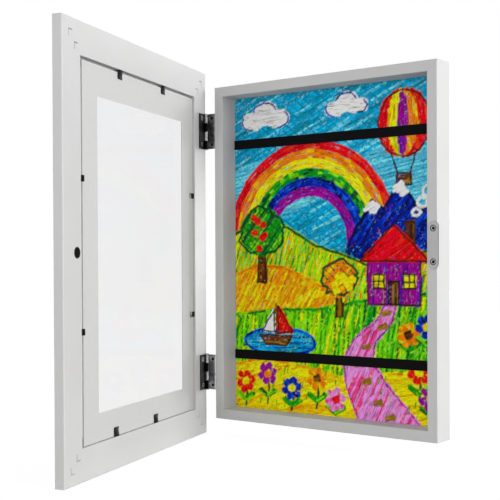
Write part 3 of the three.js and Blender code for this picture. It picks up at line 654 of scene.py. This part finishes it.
def draw_mountain(paper):
    mountain = [(8, -30), (22, 12), (44, 46), (56, 38), (72, 62), (92, 34), (109, 50), (109, -30)]
    left_snow = [(36, 36), (44, 46), (51, 40), (46, 34), (41, 38)]
    right_snow = [(64, 53), (72, 62), (80, 52), (75, 48), (70, 53)]
    paper.scribble(paper.polygon(mountain), "deep blue", 58)
    paper.scribble(paper.polygon(mountain), "navy", 40, FINE, 6.0, 0.7)
    paper.trace(mountain[:-1], "navy")
    for snow in (left_snow, right_snow):
        paper.patch(snow, "white", 30)


def draw_hills(paper):
    far = [(-109, 18), (-80, 30), (-46, 24), (-14, 6), (14, -2), (40, -12), (70, -8), (109, 4)]
    field = [(-109, -22), (-84, -12), (-50, -14), (-20, -26), (6, -40), (20, -56), (109, -160)]
    meadow = [(-109, -60), (-60, -54), (-10, -52), (30, -44), (70, -40), (109, -34)]
    front = [(-109, -108), (-70, -100), (-30, -106), (10, -114), (60, -108), (109, -100)]
    for skyline, name, angle, second, edge in (
        (far, "lime", 68, "gold", "dark green"),
        (field, "gold", 52, "orange", "orange"),
        (meadow, "lime", 74, "green", "green"),
        (front, "yellow", 12, "gold", "gold"),
    ):
        paper.scribble(paper.below(skyline), name, angle)
        paper.scribble(paper.below(skyline), second, angle + 12, MIDDLING, 5.0, 0.65)
        paper.trace(skyline, edge)


def draw_path(paper):
    right = [(68, -46), (64, -62), (48, -80), (44, -96), (58, -116), (92, -151)]
    left = [(30, -151), (18, -122), (14, -98), (26, -78), (48, -62), (58, -46)]
    stones = ((58, -54), (55, -66), (38, -84), (30, -100), (38, -116), (50, -134), (62, -146))
    paper.scribble(paper.polygon(right + left), "pink", 64)
    for edge in (right, left):
        paper.trace(edge, "purple", FINE, 0.8)
    for stone in stones:
        paper.scribble(paper.oval(stone, (5, 2.2), 12), "ochre", 12, MIDDLING, 1.6)


def draw_house(paper):
    middle, ground, eaves, ridge = 66, -46, -8, 24
    roof = [(middle - 34, eaves), (middle + 34, eaves), (middle, ridge)]
    paper.patch(upright_box(middle, ground, 26, eaves - ground), "purple", 86, "dark brown")
    paper.patch(upright_box(middle + 16, 4, 4.5, 22), "brown", 90, "dark brown")
    paper.patch(roof, "red", 34, "dark brown")
    paper.patch(upright_box(middle, ground, 5, 20), "brown", 90, "black", MIDDLING)
    for x in (middle - 15, middle + 15):
        paper.patch(upright_box(x, ground + 14, 5.5, 12), "yellow", 0, "black", MIDDLING)
        paper.trace([(x, ground + 14), (x, ground + 26)], "black", FINE)
        paper.trace([(x - 5.5, ground + 20), (x + 5.5, ground + 20)], "black", FINE)
    for i in range(3):
        puff = ring((middle + 22 + 6 * i, 34 + 9 * i), (4 + i, 3 + i), count=14)
        paper.trace(puff, "white", pressure=1.4, closed=True)


def draw_tree(paper, x, z, size, crown, fruit):
    middle, radii = (x, z + 14 * size), (25 * size, 22 * size)
    trunk = ((-6, -34), (6, -34), (3, 0), (-3, 0))
    trunk = [(x + dx * size, z + dz * size) for dx, dz in trunk]
    paper.patch(trunk, "brown", 86, "dark brown")
    paper.scribble(paper.oval(middle, radii), crown, 50)
    paper.scribble(paper.oval(middle, radii), "dark green", -40, FINE, 5.5, 0.6)
    edge = ring(middle, radii)
    paper.trace(edge + paper.random.normal(0, 1.6, edge.shape), "dark green", closed=True)
    for _ in range(9):
        turn = paper.random.uniform(0, 2 * math.pi)
        out = paper.random.uniform(0.15, 0.78)
        spot = around(middle, (radii[0] * out, radii[1] * out), turn)
        paper.scribble(paper.oval(spot, (2.6, 2.6)), fruit, 30, MIDDLING, 1.4)


def draw_pond(paper):
    centre, radii, mast = (-56, -84), (40, 13), -60
    paper.scribble(paper.oval(centre, radii), "sky", 4)
    paper.scribble(paper.oval(centre, radii), "deep blue", 2, FINE, 5.0, 0.75)
    paper.trace(ring(centre, radii), "deep blue", closed=True)
    hull = [(mast - 18, -78), (mast + 18, -78), (mast + 12, -87), (mast - 11, -87)]
    paper.patch(hull, "brown", 0, "dark brown")
    paper.trace([(mast, -78), (mast, -48)], "dark brown", FINE)
    paper.patch([(mast + 2, -76), (mast + 2, -50), (mast + 19, -74)], "red", 70, "dark brown")
    paper.patch([(mast - 2, -75), (mast - 2, -54), (mast - 16, -74)], "white", 70, "dark brown")


def draw_flower(paper, x, z, height, petals, middle):
    head, out = (x, z + height), 5.6
    paper.trace([(x, z), (x + 1.5, z + height / 2), head], "dark green")
    for side in (-1, 1):
        leaf = paper.oval((x + side * 5, z + height * 0.35), (6, 2.2), side * 32)
        paper.scribble(leaf, "green", side * 32, MIDDLING, 1.5)
    for turn in range(15, 375, 60):
        petal = paper.oval(around(head, (out, out), math.radians(turn)), (4.6, 3.0), turn)
        paper.scribble(petal, petals, turn, MIDDLING, 1.5)
    paper.scribble(paper.oval(head, (3.2, 3.2)), middle, 20, MIDDLING, 1.4, 1.2)


def draw_grass(paper):
    blades = 34
    for _ in range(blades):
        x = paper.random.uniform(-100, 100)
        z = paper.random.uniform(-146, -112)
        paper.trace([(x, z), (x + 1, z + 5)], "green", FINE, 0.8)


def drawn_landscape():
    """A landscape made up for this sheet: a rainbow, a balloon, a house, a pond and flowers."""
    paper = Drawing()
    draw_sky(paper)
    draw_clouds(paper)
    draw_rainbow(paper)
    draw_balloon(paper)
    draw_mountain(paper)
    draw_hills(paper)
    draw_path(paper)
    draw_house(paper)
    draw_tree(paper, -76, 6, 1.0, "green", "red")
    draw_tree(paper, 10, -34, 0.72, "orange", "yellow")
    draw_pond(paper)
    draw_grass(paper)
    for flower in (
        (-96, -146, 22, "red", "yellow"),
        (-70, -143, 28, "purple", "orange"),
        (-42, -147, 20, "deep blue", "yellow"),
        (-14, -143, 27, "orange", "brown"),
        (6, -148, 14, "pink", "red"),
        (90, -128, 24, "red", "yellow"),
        (101, -144, 18, "purple", "yellow"),
        (80, -90, 18, "orange", "brown"),
        (98, -84, 20, "deep blue", "yellow"),
    ):
        draw_flower(paper, *flower)
    return paper


# Pieces
def new_object(name, data, *materials):
    """Puts an object of a mesh, a lamp or a camera in the scene."""
    made = bpy.data.objects.new(name, data)
    bpy.context.scene.collection.objects.link(made)
    for material in materials:
        data.materials.append(material)
    return made


def handed_over(piece, body, slot, *nodes):
    """Puts a piece under its body and hides the nodes it stands for. Its slot is not used."""
    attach(piece, body)
    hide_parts(*nodes)


def door_turn():
    """Turns a place on the shut door to where the open door has it."""
    axis = Vector((HINGE_X, HINGE_Y, 0)) * MM
    swing = Matrix.Rotation(-math.radians(DOOR_ANGLE), 4, "Z")
    return Matrix.Translation(axis) @ swing @ Matrix.Translation(-axis)


def door_normal():
    """The direction that the open door's inner face looks in."""
    return tuple(door_turn().to_3x3() @ Vector((0, 1, 0)))


def on_open_door(place):
    """Where the open door has a place that is given on the shut door."""
    return (door_turn() @ (Vector(place) * MM)) / MM


def finished_node(node, material):
    """Gives its material to a CAD solid that stays as it is."""
    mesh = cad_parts[node].data
    mesh.materials.clear()
    mesh.materials.append(material)


def is_mitre(face):
    """The mitred ends meet another board, so their edges stay sharp."""
    least, most = MITRE_SHARES
    return least < abs(face.normal.z) < most


def is_curved(face):
    """Round surfaces are made of narrow faces, and only these are shaded smooth."""
    longest = max(edge.calc_length() for edge in face.edges)
    return face.calc_area() / longest < CURVED_FACE_WIDTH * MM


def soft_edged(node, body, slot, material, rounding):
    """A copy of a CAD solid, merged and with its outer edges rounded, that stands for the solid."""
    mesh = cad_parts[node].data.copy()
    mesh.materials.clear()
    work = bmesh.new()
    work.from_mesh(mesh)
    bmesh.ops.remove_doubles(work, verts=work.verts, dist=MERGE_DISTANCE * MM)
    flat = math.radians(FLAT_ANGLE)
    bmesh.ops.dissolve_limit(work, angle_limit=flat, verts=work.verts, edges=work.edges)
    weight = work.edges.layers.float.new("bevel_weight_edge")
    for edge in work.edges:
        sharp = edge.is_manifold and edge.calc_face_angle(0) > math.radians(SHARP_ANGLE)
        edge[weight] = float(sharp and not any(is_mitre(face) for face in edge.link_faces))
    curved = [is_curved(face) for face in work.faces]
    work.to_mesh(mesh)
    work.free()
    mesh.set_sharp_from_angle(angle=math.radians(SHARP_ANGLE))
    mesh.polygons.foreach_set("use_smooth", curved)
    piece = new_object(node + "_finished", mesh, material)
    bevel = piece.modifiers.new("edges", "BEVEL")
    bevel.limit_method = "WEIGHT"
    bevel.width = rounding * MM
    bevel.segments = 2
    handed_over(piece, body, slot, node)
    return piece


def new_tree(name, sizes):
    """Starts a geometry tree with a named input for each size, a seed and a finish."""
    tree = bpy.data.node_groups.new(name, "GeometryNodeTree")
    kinds = {"Geometry": "Geometry"} | dict.fromkeys(sizes, "Float")
    for socket, kind in (kinds | {"Seed": "Int", "Finish": "Material"}).items():
        tree.interface.new_socket(socket, in_out="INPUT", socket_type="NodeSocket" + kind)
    tree.interface.new_socket("Geometry", in_out="OUTPUT", socket_type="NodeSocketGeometry")
    return tree, add(tree, "GroupInput").outputs


def ended(tree, geometry, given):
    """Ends a tree: instances made real, and the finish put on."""
    real = add(tree, "RealizeInstances", (geometry,))
    done = add(tree, "SetMaterial", {"Geometry": real, "Material": given["Finish"]})
    add(tree, "GroupOutput", (done,))
    return tree


def grown(name, seeds, tree, sizes, finish, seed=0):
    """Runs a geometry tree on its seeds and keeps the result as a plain mesh."""
    starter = new_object(name + "_seeds", seeds)
    growth = starter.modifiers.new("growth", "NODES")
    growth.node_group = tree
    values = {size: value * MM for size, value in sizes.items()} | {"Finish": finish, "Seed": seed}
    for item in tree.interface.items_tree:
        if item.in_out == "INPUT" and item.name in values:
            growth[item.identifier] = values[item.name]
    graph = bpy.context.evaluated_depsgraph_get()
    mesh = bpy.data.meshes.new_from_object(starter.evaluated_get(graph))
    starter.modifiers.clear()
    bpy.data.objects.remove(starter)
    mesh.name = name
    return new_object(name, mesh)


def seed_points(name, places, directions):
    """Seeds for things on a surface: a point and the direction in which it faces."""
    mesh = bpy.data.meshes.new(name)
    mesh.from_pydata([Vector(place) * MM for place in places], [], [])
    outward = mesh.attributes.new("outward", "FLOAT_VECTOR", "POINT")
    outward.data.foreach_set("vector", np.array(directions, np.float32).ravel())
    return mesh


def seed_lines(name, lines):
    """Seeds for strips: a line of edges through each row of places."""
    mesh = bpy.data.meshes.new(name)
    edges = []
    places = []
    for line in lines:
        edges += [(len(places) + i, len(places) + i + 1) for i in range(len(line) - 1)]
        places += [Vector(place) * MM for place in line]
    mesh.from_pydata(places, edges, [])
    return mesh


def cross_recess_screws():
    """Countersunk screws with a cross recess, each turned as its screwdriver left it."""
    tree, given = new_tree("cross_recess_screws", HINGE_SCREW)
    depth = given["Head Depth"]
    head = {
        "Vertices": 32,
        "Radius Top": given["Head Radius"],
        "Radius Bottom": given["Shank Radius"],
        "Depth": depth,
    }
    head = add(tree, "MeshCone", head)
    down = add(tree, "Math", (depth, -1), operation="MULTIPLY")
    down = add(tree, "CombineXYZ", {"Z": down})
    head = add(tree, "Transform", {"Geometry": head, "Translation": down})
    shank = {"Vertices": 20, "Radius": given["Shank Radius"], "Depth": given["Length"]}
    shank = add(tree, "MeshCylinder", shank)
    down = (given["Length"], -0.5, -SHANK_SINK * MM)
    down = add(tree, "Math", down, operation="MULTIPLY_ADD")
    down = add(tree, "CombineXYZ", {"Z": down})
    shank = add(tree, "Transform", {"Geometry": shank, "Translation": down})
    blank = {"Mesh 2": [head, shank]}
    blank = add(tree, "MeshBoolean", blank, operation="UNION", solver="EXACT")
    deep = add(tree, "Math", (depth, 2 * RECESS_DEPTH_SHARE), operation="MULTIPLY")
    recess = (given["Recess Length"], given["Recess Width"])
    slots = [add(tree, "CombineXYZ", (*way, deep)) for way in (recess, recess[::-1])]
    slots = [add(tree, "MeshCube", {"Size": slot}) for slot in slots]
    screw = {"Mesh 1": blank, "Mesh 2": slots}
    screw = add(tree, "MeshBoolean", screw, operation="DIFFERENCE", solver="EXACT")
    level = add(tree, "InputPosition")
    level = add(tree, "SeparateXYZ", (level,)).outputs["Z"]
    # The crown keeps the bright plating; the recess and the underside are painted dark as shade.
    crown = add(tree, "Math", (level, -CROWN_THICKNESS * MM), operation="GREATER_THAN")
    screw = {"Geometry": screw, "Name": "crown", "Value": crown}
    screw = add(tree, "StoreNamedAttribute", screw, data_type="FLOAT", domain="FACE")
    facing = {"Name": "outward"}
    facing = add(tree, "InputNamedAttribute", facing, data_type="FLOAT_VECTOR")
    facing = add(tree, "AlignRotationToVector", {"Vector": facing}, axis="Z")
    driven = {0: 0, 1: math.pi / 2, "Seed": given["Seed"]}
    driven = add(tree, "RandomValue", driven, data_type="FLOAT")
    driven = add(tree, "CombineXYZ", {"Z": driven})
    driven = add(tree, "EulerToRotation", (driven,))
    turned = add(tree, "RotateRotation", (facing, driven), rotation_space="LOCAL")
    set_in = {"Points": given["Geometry"], "Instance": screw, "Rotation": turned}
    return ended(tree, add(tree, "InstanceOnPoints", set_in), given)


def strip_along(tree, line, face, given, corner_steps):
    """A strip with rounded edges along a line, whose broad side looks in a direction."""
    upright = {"Curve": line, "Normal": face}
    line = add(tree, "SetCurveNormal", upright, mode="FREE")
    section = (given["Thickness"], given["Breadth"])
    section = add(tree, "CurvePrimitiveQuadrilateral", section)
    corner = (section, corner_steps, given["Edge Radius"], True)
    section = add(tree, "FilletCurve", corner, mode="POLY")
    strip = {"Curve": line, "Profile Curve": section, "Fill Caps": True}
    return add(tree, "CurveToMesh", strip)


def spring_tabs_tree():
    """Bent strips of spring steel that follow their seed lines."""
    tree, given = new_tree("spring_tabs", TAB_STRIP)
    line = add(tree, "MeshToCurve", (given["Geometry"],))
    bend = {"Curve": line, "Count": 4, "Radius": given["Bend Radius"], "Limit Radius": True}
    line = add(tree, "FilletCurve", bend, mode="POLY")
    return ended(tree, strip_along(tree, line, door_normal(), given, corner_steps=2), given)


def woven_strap_tree():
    """A flat woven tape along its seed line, with a rib for each weft thread."""
    tree, given = new_tree("woven_strap", STRAP_WEAVE)
    line = add(tree, "MeshToCurve", (given["Geometry"],))
    fine = {"Curve": line, "Length": given["Step"]}
    line = add(tree, "ResampleCurve", fine, mode="LENGTH")
    tape = strip_along(tree, line, (0, -1, 0), given, corner_steps=3)
    place = add(tree, "InputPosition")
    x = add(tree, "SeparateXYZ", (place,)).outputs["X"]
    turns = add(tree, "Math", (x, given["Rib Pitch"]), operation="DIVIDE")
    turns = add(tree, "Math", (turns, 2 * math.pi), operation="MULTIPLY")
    wave = add(tree, "Math", (turns,), operation="SINE")
    # From here on the wave runs between -1 and 0, so that the tape only sinks between its ribs.
    wave = add(tree, "Math", (wave, 0.5, -0.5), operation="MULTIPLY_ADD")
    wave = add(tree, "Math", (wave, given["Rib Depth"]), operation="MULTIPLY")
    normal = add(tree, "InputNormal")
    sink = add(tree, "VectorMath", (normal, wave), operation="SCALE")
    ribbed = add(tree, "SetPosition", {"Geometry": tape, "Offset": sink})
    return ended(tree, add(tree, "SetShadeSmooth", (ribbed,)), given)


def hinge_screw_places(leaf, x, y):
    """The places of the four screws in one kind of hinge leaf, by the names of their nodes."""
    return {
        f"hinge_{hinge}_{leaf}_screw_{place}": (x, y, middle + side * HINGE_SCREW_OFFSET)
        for hinge, middle in zip(("upper", "lower"), HINGE_MIDDLES)
        for place, side in (("high", 1), ("low", -1))
    }


def screws():
    """The ten screws: two in each hinge leaf and two in the strike plate."""
    finish = nickel_plated_screw_steel()
    tree = cross_recess_screws()
    door_screws = hinge_screw_places("door", DOOR_SCREW_X, DOOR_SCREW_Y)
    door_screws = {name: on_open_door(place) for name, place in door_screws.items()}
    wall_screws = hinge_screw_places("wall", WALL_SCREW_X, WALL_SCREW_Y)
    strike_screws = {
        f"strike_screw_{place}": (STRIKE_X, STRIKE_Y + STRIKE_SCREW_SINK, z)
        for place, z in zip(("high", "low"), STRIKE_SCREW_HEIGHTS)
    }
    in_hinge, in_plate = ("hinge_screw_steel", HINGE_SCREW), ("zinc_steel", STRIKE_SCREW)
    for name, places, body, way, (slot, sizes), seed in (
        ("door_hinge_screws", door_screws, "door", door_normal(), in_hinge, 3),
        ("wall_hinge_screws", wall_screws, "cabinet", (-1, 0, 0), in_hinge, 5),
        ("strike_plate_screws", strike_screws, "cabinet", (0, -1, 0), in_plate, 8),
    ):
        seeds = seed_points(name + "_seeds", places.values(), [way] * len(places))
        piece = grown(name, seeds, tree, sizes, finish, seed)
        handed_over(piece, body, slot, *places)


def tab_line(start, into):
    """One tab's middle line on the open door, from its root in the rabbet wall to its tip."""
    line = []
    for reach, depth in TAB_LINE:
        place = Vector(start) + reach * Vector(into)
        place.y = DOOR_INSIDE - depth - TAB_THICKNESS / 2
        line.append(on_open_door(place))
    return line


def spring_tabs():
    """Eight spring tabs that keep the mat board and the clear sheet in the door."""
    finish = blackened_spring_steel()
    tree = spring_tabs_tree()
    ends = [((x, 0, END_TAB_REACH_FROM), (0, 0, -1)) for x in TOP_TABS]
    ends += [((x, 0, -END_TAB_REACH_FROM), (0, 0, 1)) for x in BOTTOM_TABS]
    sides = [((SIDE_TAB_REACH_FROM, 0, z), (-1, 0, 0)) for z in FREE_TABS]
    sides += [((-SIDE_TAB_REACH_FROM, 0, z), (1, 0, 0)) for z in HINGE_TABS]
    for name, tabs, breadth, places in (
        ("end_tabs", ends, END_TAB_WIDTH, ("top", "bottom")),
        ("side_tabs", sides, SIDE_TAB_WIDTH, ("left", "right")),
    ):
        seeds = seed_lines(name + "_lines", [tab_line(start, into) for start, into in tabs])
        piece = grown(name, seeds, tree, TAB_STRIP | {"Breadth": breadth}, finish)
        nodes = [f"tab_{place}_{tab}" for place in places for tab in "ab"]
        handed_over(piece, "door", "black_spring_steel", *nodes)


def straps():
    """Two straps of woven elastic that hold the drawing back."""
    finish = woven_black_elastic()
    tree = woven_strap_tree()
    for name, z in zip(("upper", "lower"), STRAP_HEIGHTS):
        line = [(-STRAP_HALF_LENGTH, STRAP_MIDDLE, z), (STRAP_HALF_LENGTH, STRAP_MIDDLE, z)]
        seeds = seed_lines(f"strap_{name}_line", [line])
        piece = grown(f"strap_{name}_woven", seeds, tree, STRAP_WEAVE, finish)
        handed_over(piece, "cabinet", "black_elastic", "strap_" + name)


def artwork():
    """The sheet on show: a closed slab of paper whose front carries the crayon strokes."""
    paper = drawn_landscape()
    level = np.full_like(paper.across, SHEET_FRONT)
    front = np.stack([paper.across, level, paper.up], 2).reshape(-1, 3)
    index = np.arange(len(front)).reshape(paper.across.shape)
    corners = (index[:-1, :-1], index[:-1, 1:], index[1:, 1:], index[1:, :-1])
    quads = np.stack(corners, 2).reshape(-1, 4)
    rim = np.concatenate([index[0, :-1], index[:-1, -1], index[-1, :0:-1], index[:0:-1, 0]])
    back = front[rim] + (0, SHEET_BACK - SHEET_FRONT, 0)
    behind = len(front) + np.arange(len(rim))
    sides = np.stack([np.roll(rim, -1), rim, behind, np.roll(behind, -1)], 1)
    mesh = bpy.data.meshes.new("crayon_drawing")
    places = np.vstack([front, back]) * MM
    mesh.from_pydata(places.tolist(), [], [*quads.tolist(), *sides.tolist(), behind[::-1].tolist()])
    wax = np.concatenate([paper.colour, paper.wax[..., None]], 2).reshape(-1, 4)
    bare = np.zeros((len(rim), 4))
    bare[:, :3] = linear(PAPER)[:3]
    held = mesh.attributes.new("wax", "FLOAT_COLOR", "POINT")
    held.data.foreach_set("color", np.vstack([wax, bare]).astype(np.float32).ravel())
    pull = np.zeros((len(places), 3), np.float32)
    pull[: len(front), [0, 2]] = paper.pull.reshape(-1, 2)
    held = mesh.attributes.new("pull", "FLOAT_VECTOR", "POINT")
    held.data.foreach_set("vector", pull.ravel())
    piece = new_object("crayon_drawing", mesh, wax_crayon_on_paper())
    handed_over(piece, "cabinet", "artwork_paper", "artwork_sheet")


def boards():
    """The white boards of the cabinet and the door, the back panel, the mat and the clear sheet."""
    lacquer = sprayed_lacquer_on_fibreboard()
    for body, nodes in (
        ("cabinet", [f"cabinet_wall_{side}" for side in ("top", "bottom", "left", "right")]),
        ("door", ["door_rail_top", "door_rail_bottom", "door_stile_free", "door_stile_hinge"]),
    ):
        for node in nodes:
            soft_edged(node, body, "white_lacquered_board", lacquer, BOARD_EDGE_ROUNDING)
    finished_node("back_panel", faced_hardboard())
    finished_node("mat_board", white_mat_board())
    soft_edged("glazing", "door", "clear_acrylic", anti_glare_acrylic(), SHEET_METAL_ROUNDING)


def marked(piece, name, share):
    """Gives each face of a piece a share for its material, from its middle and its direction."""
    faces = piece.data.polygons
    shares = [share(face.center / MM, face.normal) for face in faces]
    piece.data.attributes.new(name, "FLOAT", "FACE").data.foreach_set("value", shares)


def leaf_wear_and_painted_light(hinge_middle, plate, knuckles):
    """Wear and painted light on a hinge leaf: its plate and its knuckles differ, and its bare holes
    are black.
    """

    def share(middle, _):
        near_hole = abs(abs(middle.z - hinge_middle) - HINGE_SCREW_OFFSET) < BARE_HOLE_REACH
        if near_hole and abs(middle.x - BARE_HOLE_X) < BARE_HOLE_REACH:
            return 0
        from_axis = math.hypot(middle.x - HINGE_X, middle.y - HINGE_Y)
        return knuckles if from_axis < KNUCKLE_REACH else plate

    return share


def hinges():
    """Two hinges, each with a leaf on the door, a leaf on the cabinet and a pin."""
    finish = black_nickel_on_steel()
    pins = zinc_plated_steel("zinc_plated_pin_steel", "#8c8c8e", "#c4c4c6")
    for hinge, middle, wear in zip(("upper", "lower"), HINGE_MIDDLES, WALL_LEAF_WEAR_AND_PAINTED_LIGHT):
        for leaf, body, worn_and_lit in (("door", "door", DOOR_LEAF_WEAR_AND_HIGHLIGHT), ("wall", "cabinet", wear)):
            node = f"hinge_{hinge}_{leaf}_leaf"
            piece = soft_edged(node, body, "hinge_steel", finish, SHEET_METAL_ROUNDING)
            # The share is wear, with painted highlight and shade on the knuckles.
            marked(piece, "wear", leaf_wear_and_painted_light(middle, *worn_and_lit))
        finished_node(f"hinge_{hinge}_pin", pins)


def catch():
    """The strike plate on the cabinet, and the magnet and its cup in the door."""
    finish = satin_nickel_plate()
    plate = soft_edged("strike_plate", "cabinet", "satin_steel", finish, SHEET_METAL_ROUNDING)
    # The plate's cut edges and holes are painted dark, as shade.
    marked(plate, "cut", lambda _, normal: abs(normal.y) < PLATE_FRONT_SHARE)
    for node, slot, material in (
        ("magnet_cup", "magnet_cup_plastic", moulded_black_abs()),
        ("magnet_disc", "magnet_steel", epoxy_coated_magnet()),
    ):
        soft_edged(node, "door", slot, material, SHEET_METAL_ROUNDING)


def nails_and_hangers():
    """The nails across the door's mitres, and the two hangers with their own nails."""
    wire = zinc_plated_steel("zinc_plated_nail_wire", "#8c8c8e", "#c4c4c6")
    across = zinc_plated_steel("zinc_plated_nail_steel", "#9a9a9a", "#b4b4b4")
    sheet = zinc_plated_steel("zinc_coated_sheet_steel", "#9c9ca0", "#c8c8cc")
    for end in ("top", "bottom"):
        for side in ("free", "hinge"):
            for place in ("outer", "inner"):
                finished_node(f"corner_nail_{end}_{side}_{place}", across)
    for side in ("top", "right"):
        soft_edged(f"hanger_{side}", "cabinet", "hanger_steel", sheet, SHEET_METAL_ROUNDING)
        for nail in "ab":
            finished_node(f"hanger_{side}_nail_{nail}", wire)


# Camera, light and floor
CAMERA_PLACE = (489.207, -785.522, -5.722)
CAMERA_YAW = -36.531
CAMERA_PITCH = -0.677
CAMERA_ROLL = 0.235
CAMERA_LENS = 72.535
CAMERA_RISE_SHARE = 0.04204
OBJECT_MIDDLE = (-10, -60, 0)
# Each lamp's direction from the object, its distance, its width and height, and its strength
SOFTBOXES = {
    "right_softbox": ((1, 0.14, 0.03), 2400, (850, 1300), 0.84),
    "side_softbox": ((1, 0, 0.03), 2400, (850, 1300), 0.23),
    "front_softbox": ((0.1, -1, 0.1), 2600, (1500, 1100), 0.35),
    "back_softbox": ((-0.1, 1, 0), 2400, (500, 500), 0.38),
}
WHITE = "#ffffff"
FILL_STRENGTH = 0.42
FLOOR_HEIGHT = -175.6
FLOOR_SIZE = 9000
FLOOR_GREYS = ("#aeaeae", "#b4b4b4")
FLOOR_GLOW = 1.32
GLOW_SHARE = 0.7


def camera():
    """The photograph's camera, fitted to the object's corners."""
    lens = bpy.data.cameras.new("camera")
    lens.lens = CAMERA_LENS
    lens.shift_y = CAMERA_RISE_SHARE
    lens.clip_end = FLOOR_SIZE * MM * 2
    eye = new_object("camera", lens)
    stand = Matrix.Translation(Vector(CAMERA_PLACE) * MM)
    for turn, axis in ((-CAMERA_YAW, "Z"), (90 + CAMERA_PITCH, "X"), (-CAMERA_ROLL, "Z")):
        stand = stand @ Matrix.Rotation(math.radians(turn), 4, axis)
    eye.matrix_world = stand
    bpy.context.scene.camera = eye


def softbox(name, way, distance, size, strength):
    """A soft lamp that shines on the object from a direction. Its strength is the light that a
    surface facing it gets, as a share of the light at which a colour renders as written."""
    lamp = bpy.data.lights.new(name, "AREA")
    lamp.shape = "RECTANGLE"
    lamp.size, lamp.size_y = (length * MM for length in size)
    lamp.energy = strength * math.pi * math.pi * (distance * MM) ** 2
    holder = new_object(name, lamp)
    way = Vector(way).normalized()
    holder.matrix_world = way.to_track_quat("Z", "Y").to_matrix().to_4x4()
    holder.location = (Vector(OBJECT_MIDDLE) + way * distance) * MM


def seen_straight(tree):
    """1 for what the camera sees, itself, mirrored or through the clear sheet, and 0 for the rest."""
    path = add(tree, "LightPath").outputs
    seen = (path["Is Camera Ray"], path["Is Glossy Ray"])
    seen = add(tree, "Math", seen, operation="MAXIMUM")
    return add(tree, "Math", (seen, path["Is Transmission Ray"]), operation="MAXIMUM")


def light():
    """Four softboxes, and a white studio all round that fills the shadows."""
    for name, settings in SOFTBOXES.items():
        softbox(name, *settings)
    world = bpy.data.worlds.new("studio")
    bpy.context.scene.world = world
    world.use_nodes = True
    tree = world.node_tree
    strength = {"Value": seen_straight(tree), "To Min": FILL_STRENGTH, "To Max": 1}
    strength = add(tree, "MapRange", strength)
    background = tree.nodes["Background"].inputs
    fill(tree, background["Color"], WHITE)
    fill(tree, background["Strength"], strength)


def painted_studio_paper():
    # Studio paper, painted pale with a roller: matt, with the faint mottle that the roller leaves.
    # It glows softly where it is seen, so that it looks white and has no edge, and it sends a
    # plain grey light back up.
    mottle_size = 6
    material, tree, place = started("painted_studio_paper", {"Roughness": 0.9})
    mottle = add(tree, "TexNoise", (place, 1 / mottle_size, 3))
    colour = add(tree, "Mix", (mottle, *FLOOR_GREYS), data_type="RGBA")
    fill(tree, tree.nodes["Principled BSDF"].inputs["Base Color"], colour)
    glow = add(tree, "Emission", (WHITE, FLOOR_GLOW))
    share = add(tree, "Math", (seen_straight(tree), GLOW_SHARE), operation="MULTIPLY")
    return shared_with(material, share, glow)


def floor():
    """A pale floor that shows white, and keeps the object's shadow."""
    mesh = bpy.data.meshes.new("floor")
    half = FLOOR_SIZE / 2
    corners = [(-half, -half), (half, -half), (half, half), (-half, half)]
    mesh.from_pydata([Vector((x, y, FLOOR_HEIGHT)) * MM for x, y in corners], [], [(0, 1, 2, 3)])
    new_object("floor", mesh, painted_studio_paper())


camera()
light()
floor()
boards()
hinges()
catch()
nails_and_hangers()
screws()
spring_tabs()
straps()
artwork()

bpy.context.scene.view_settings.view_transform = "Standard"
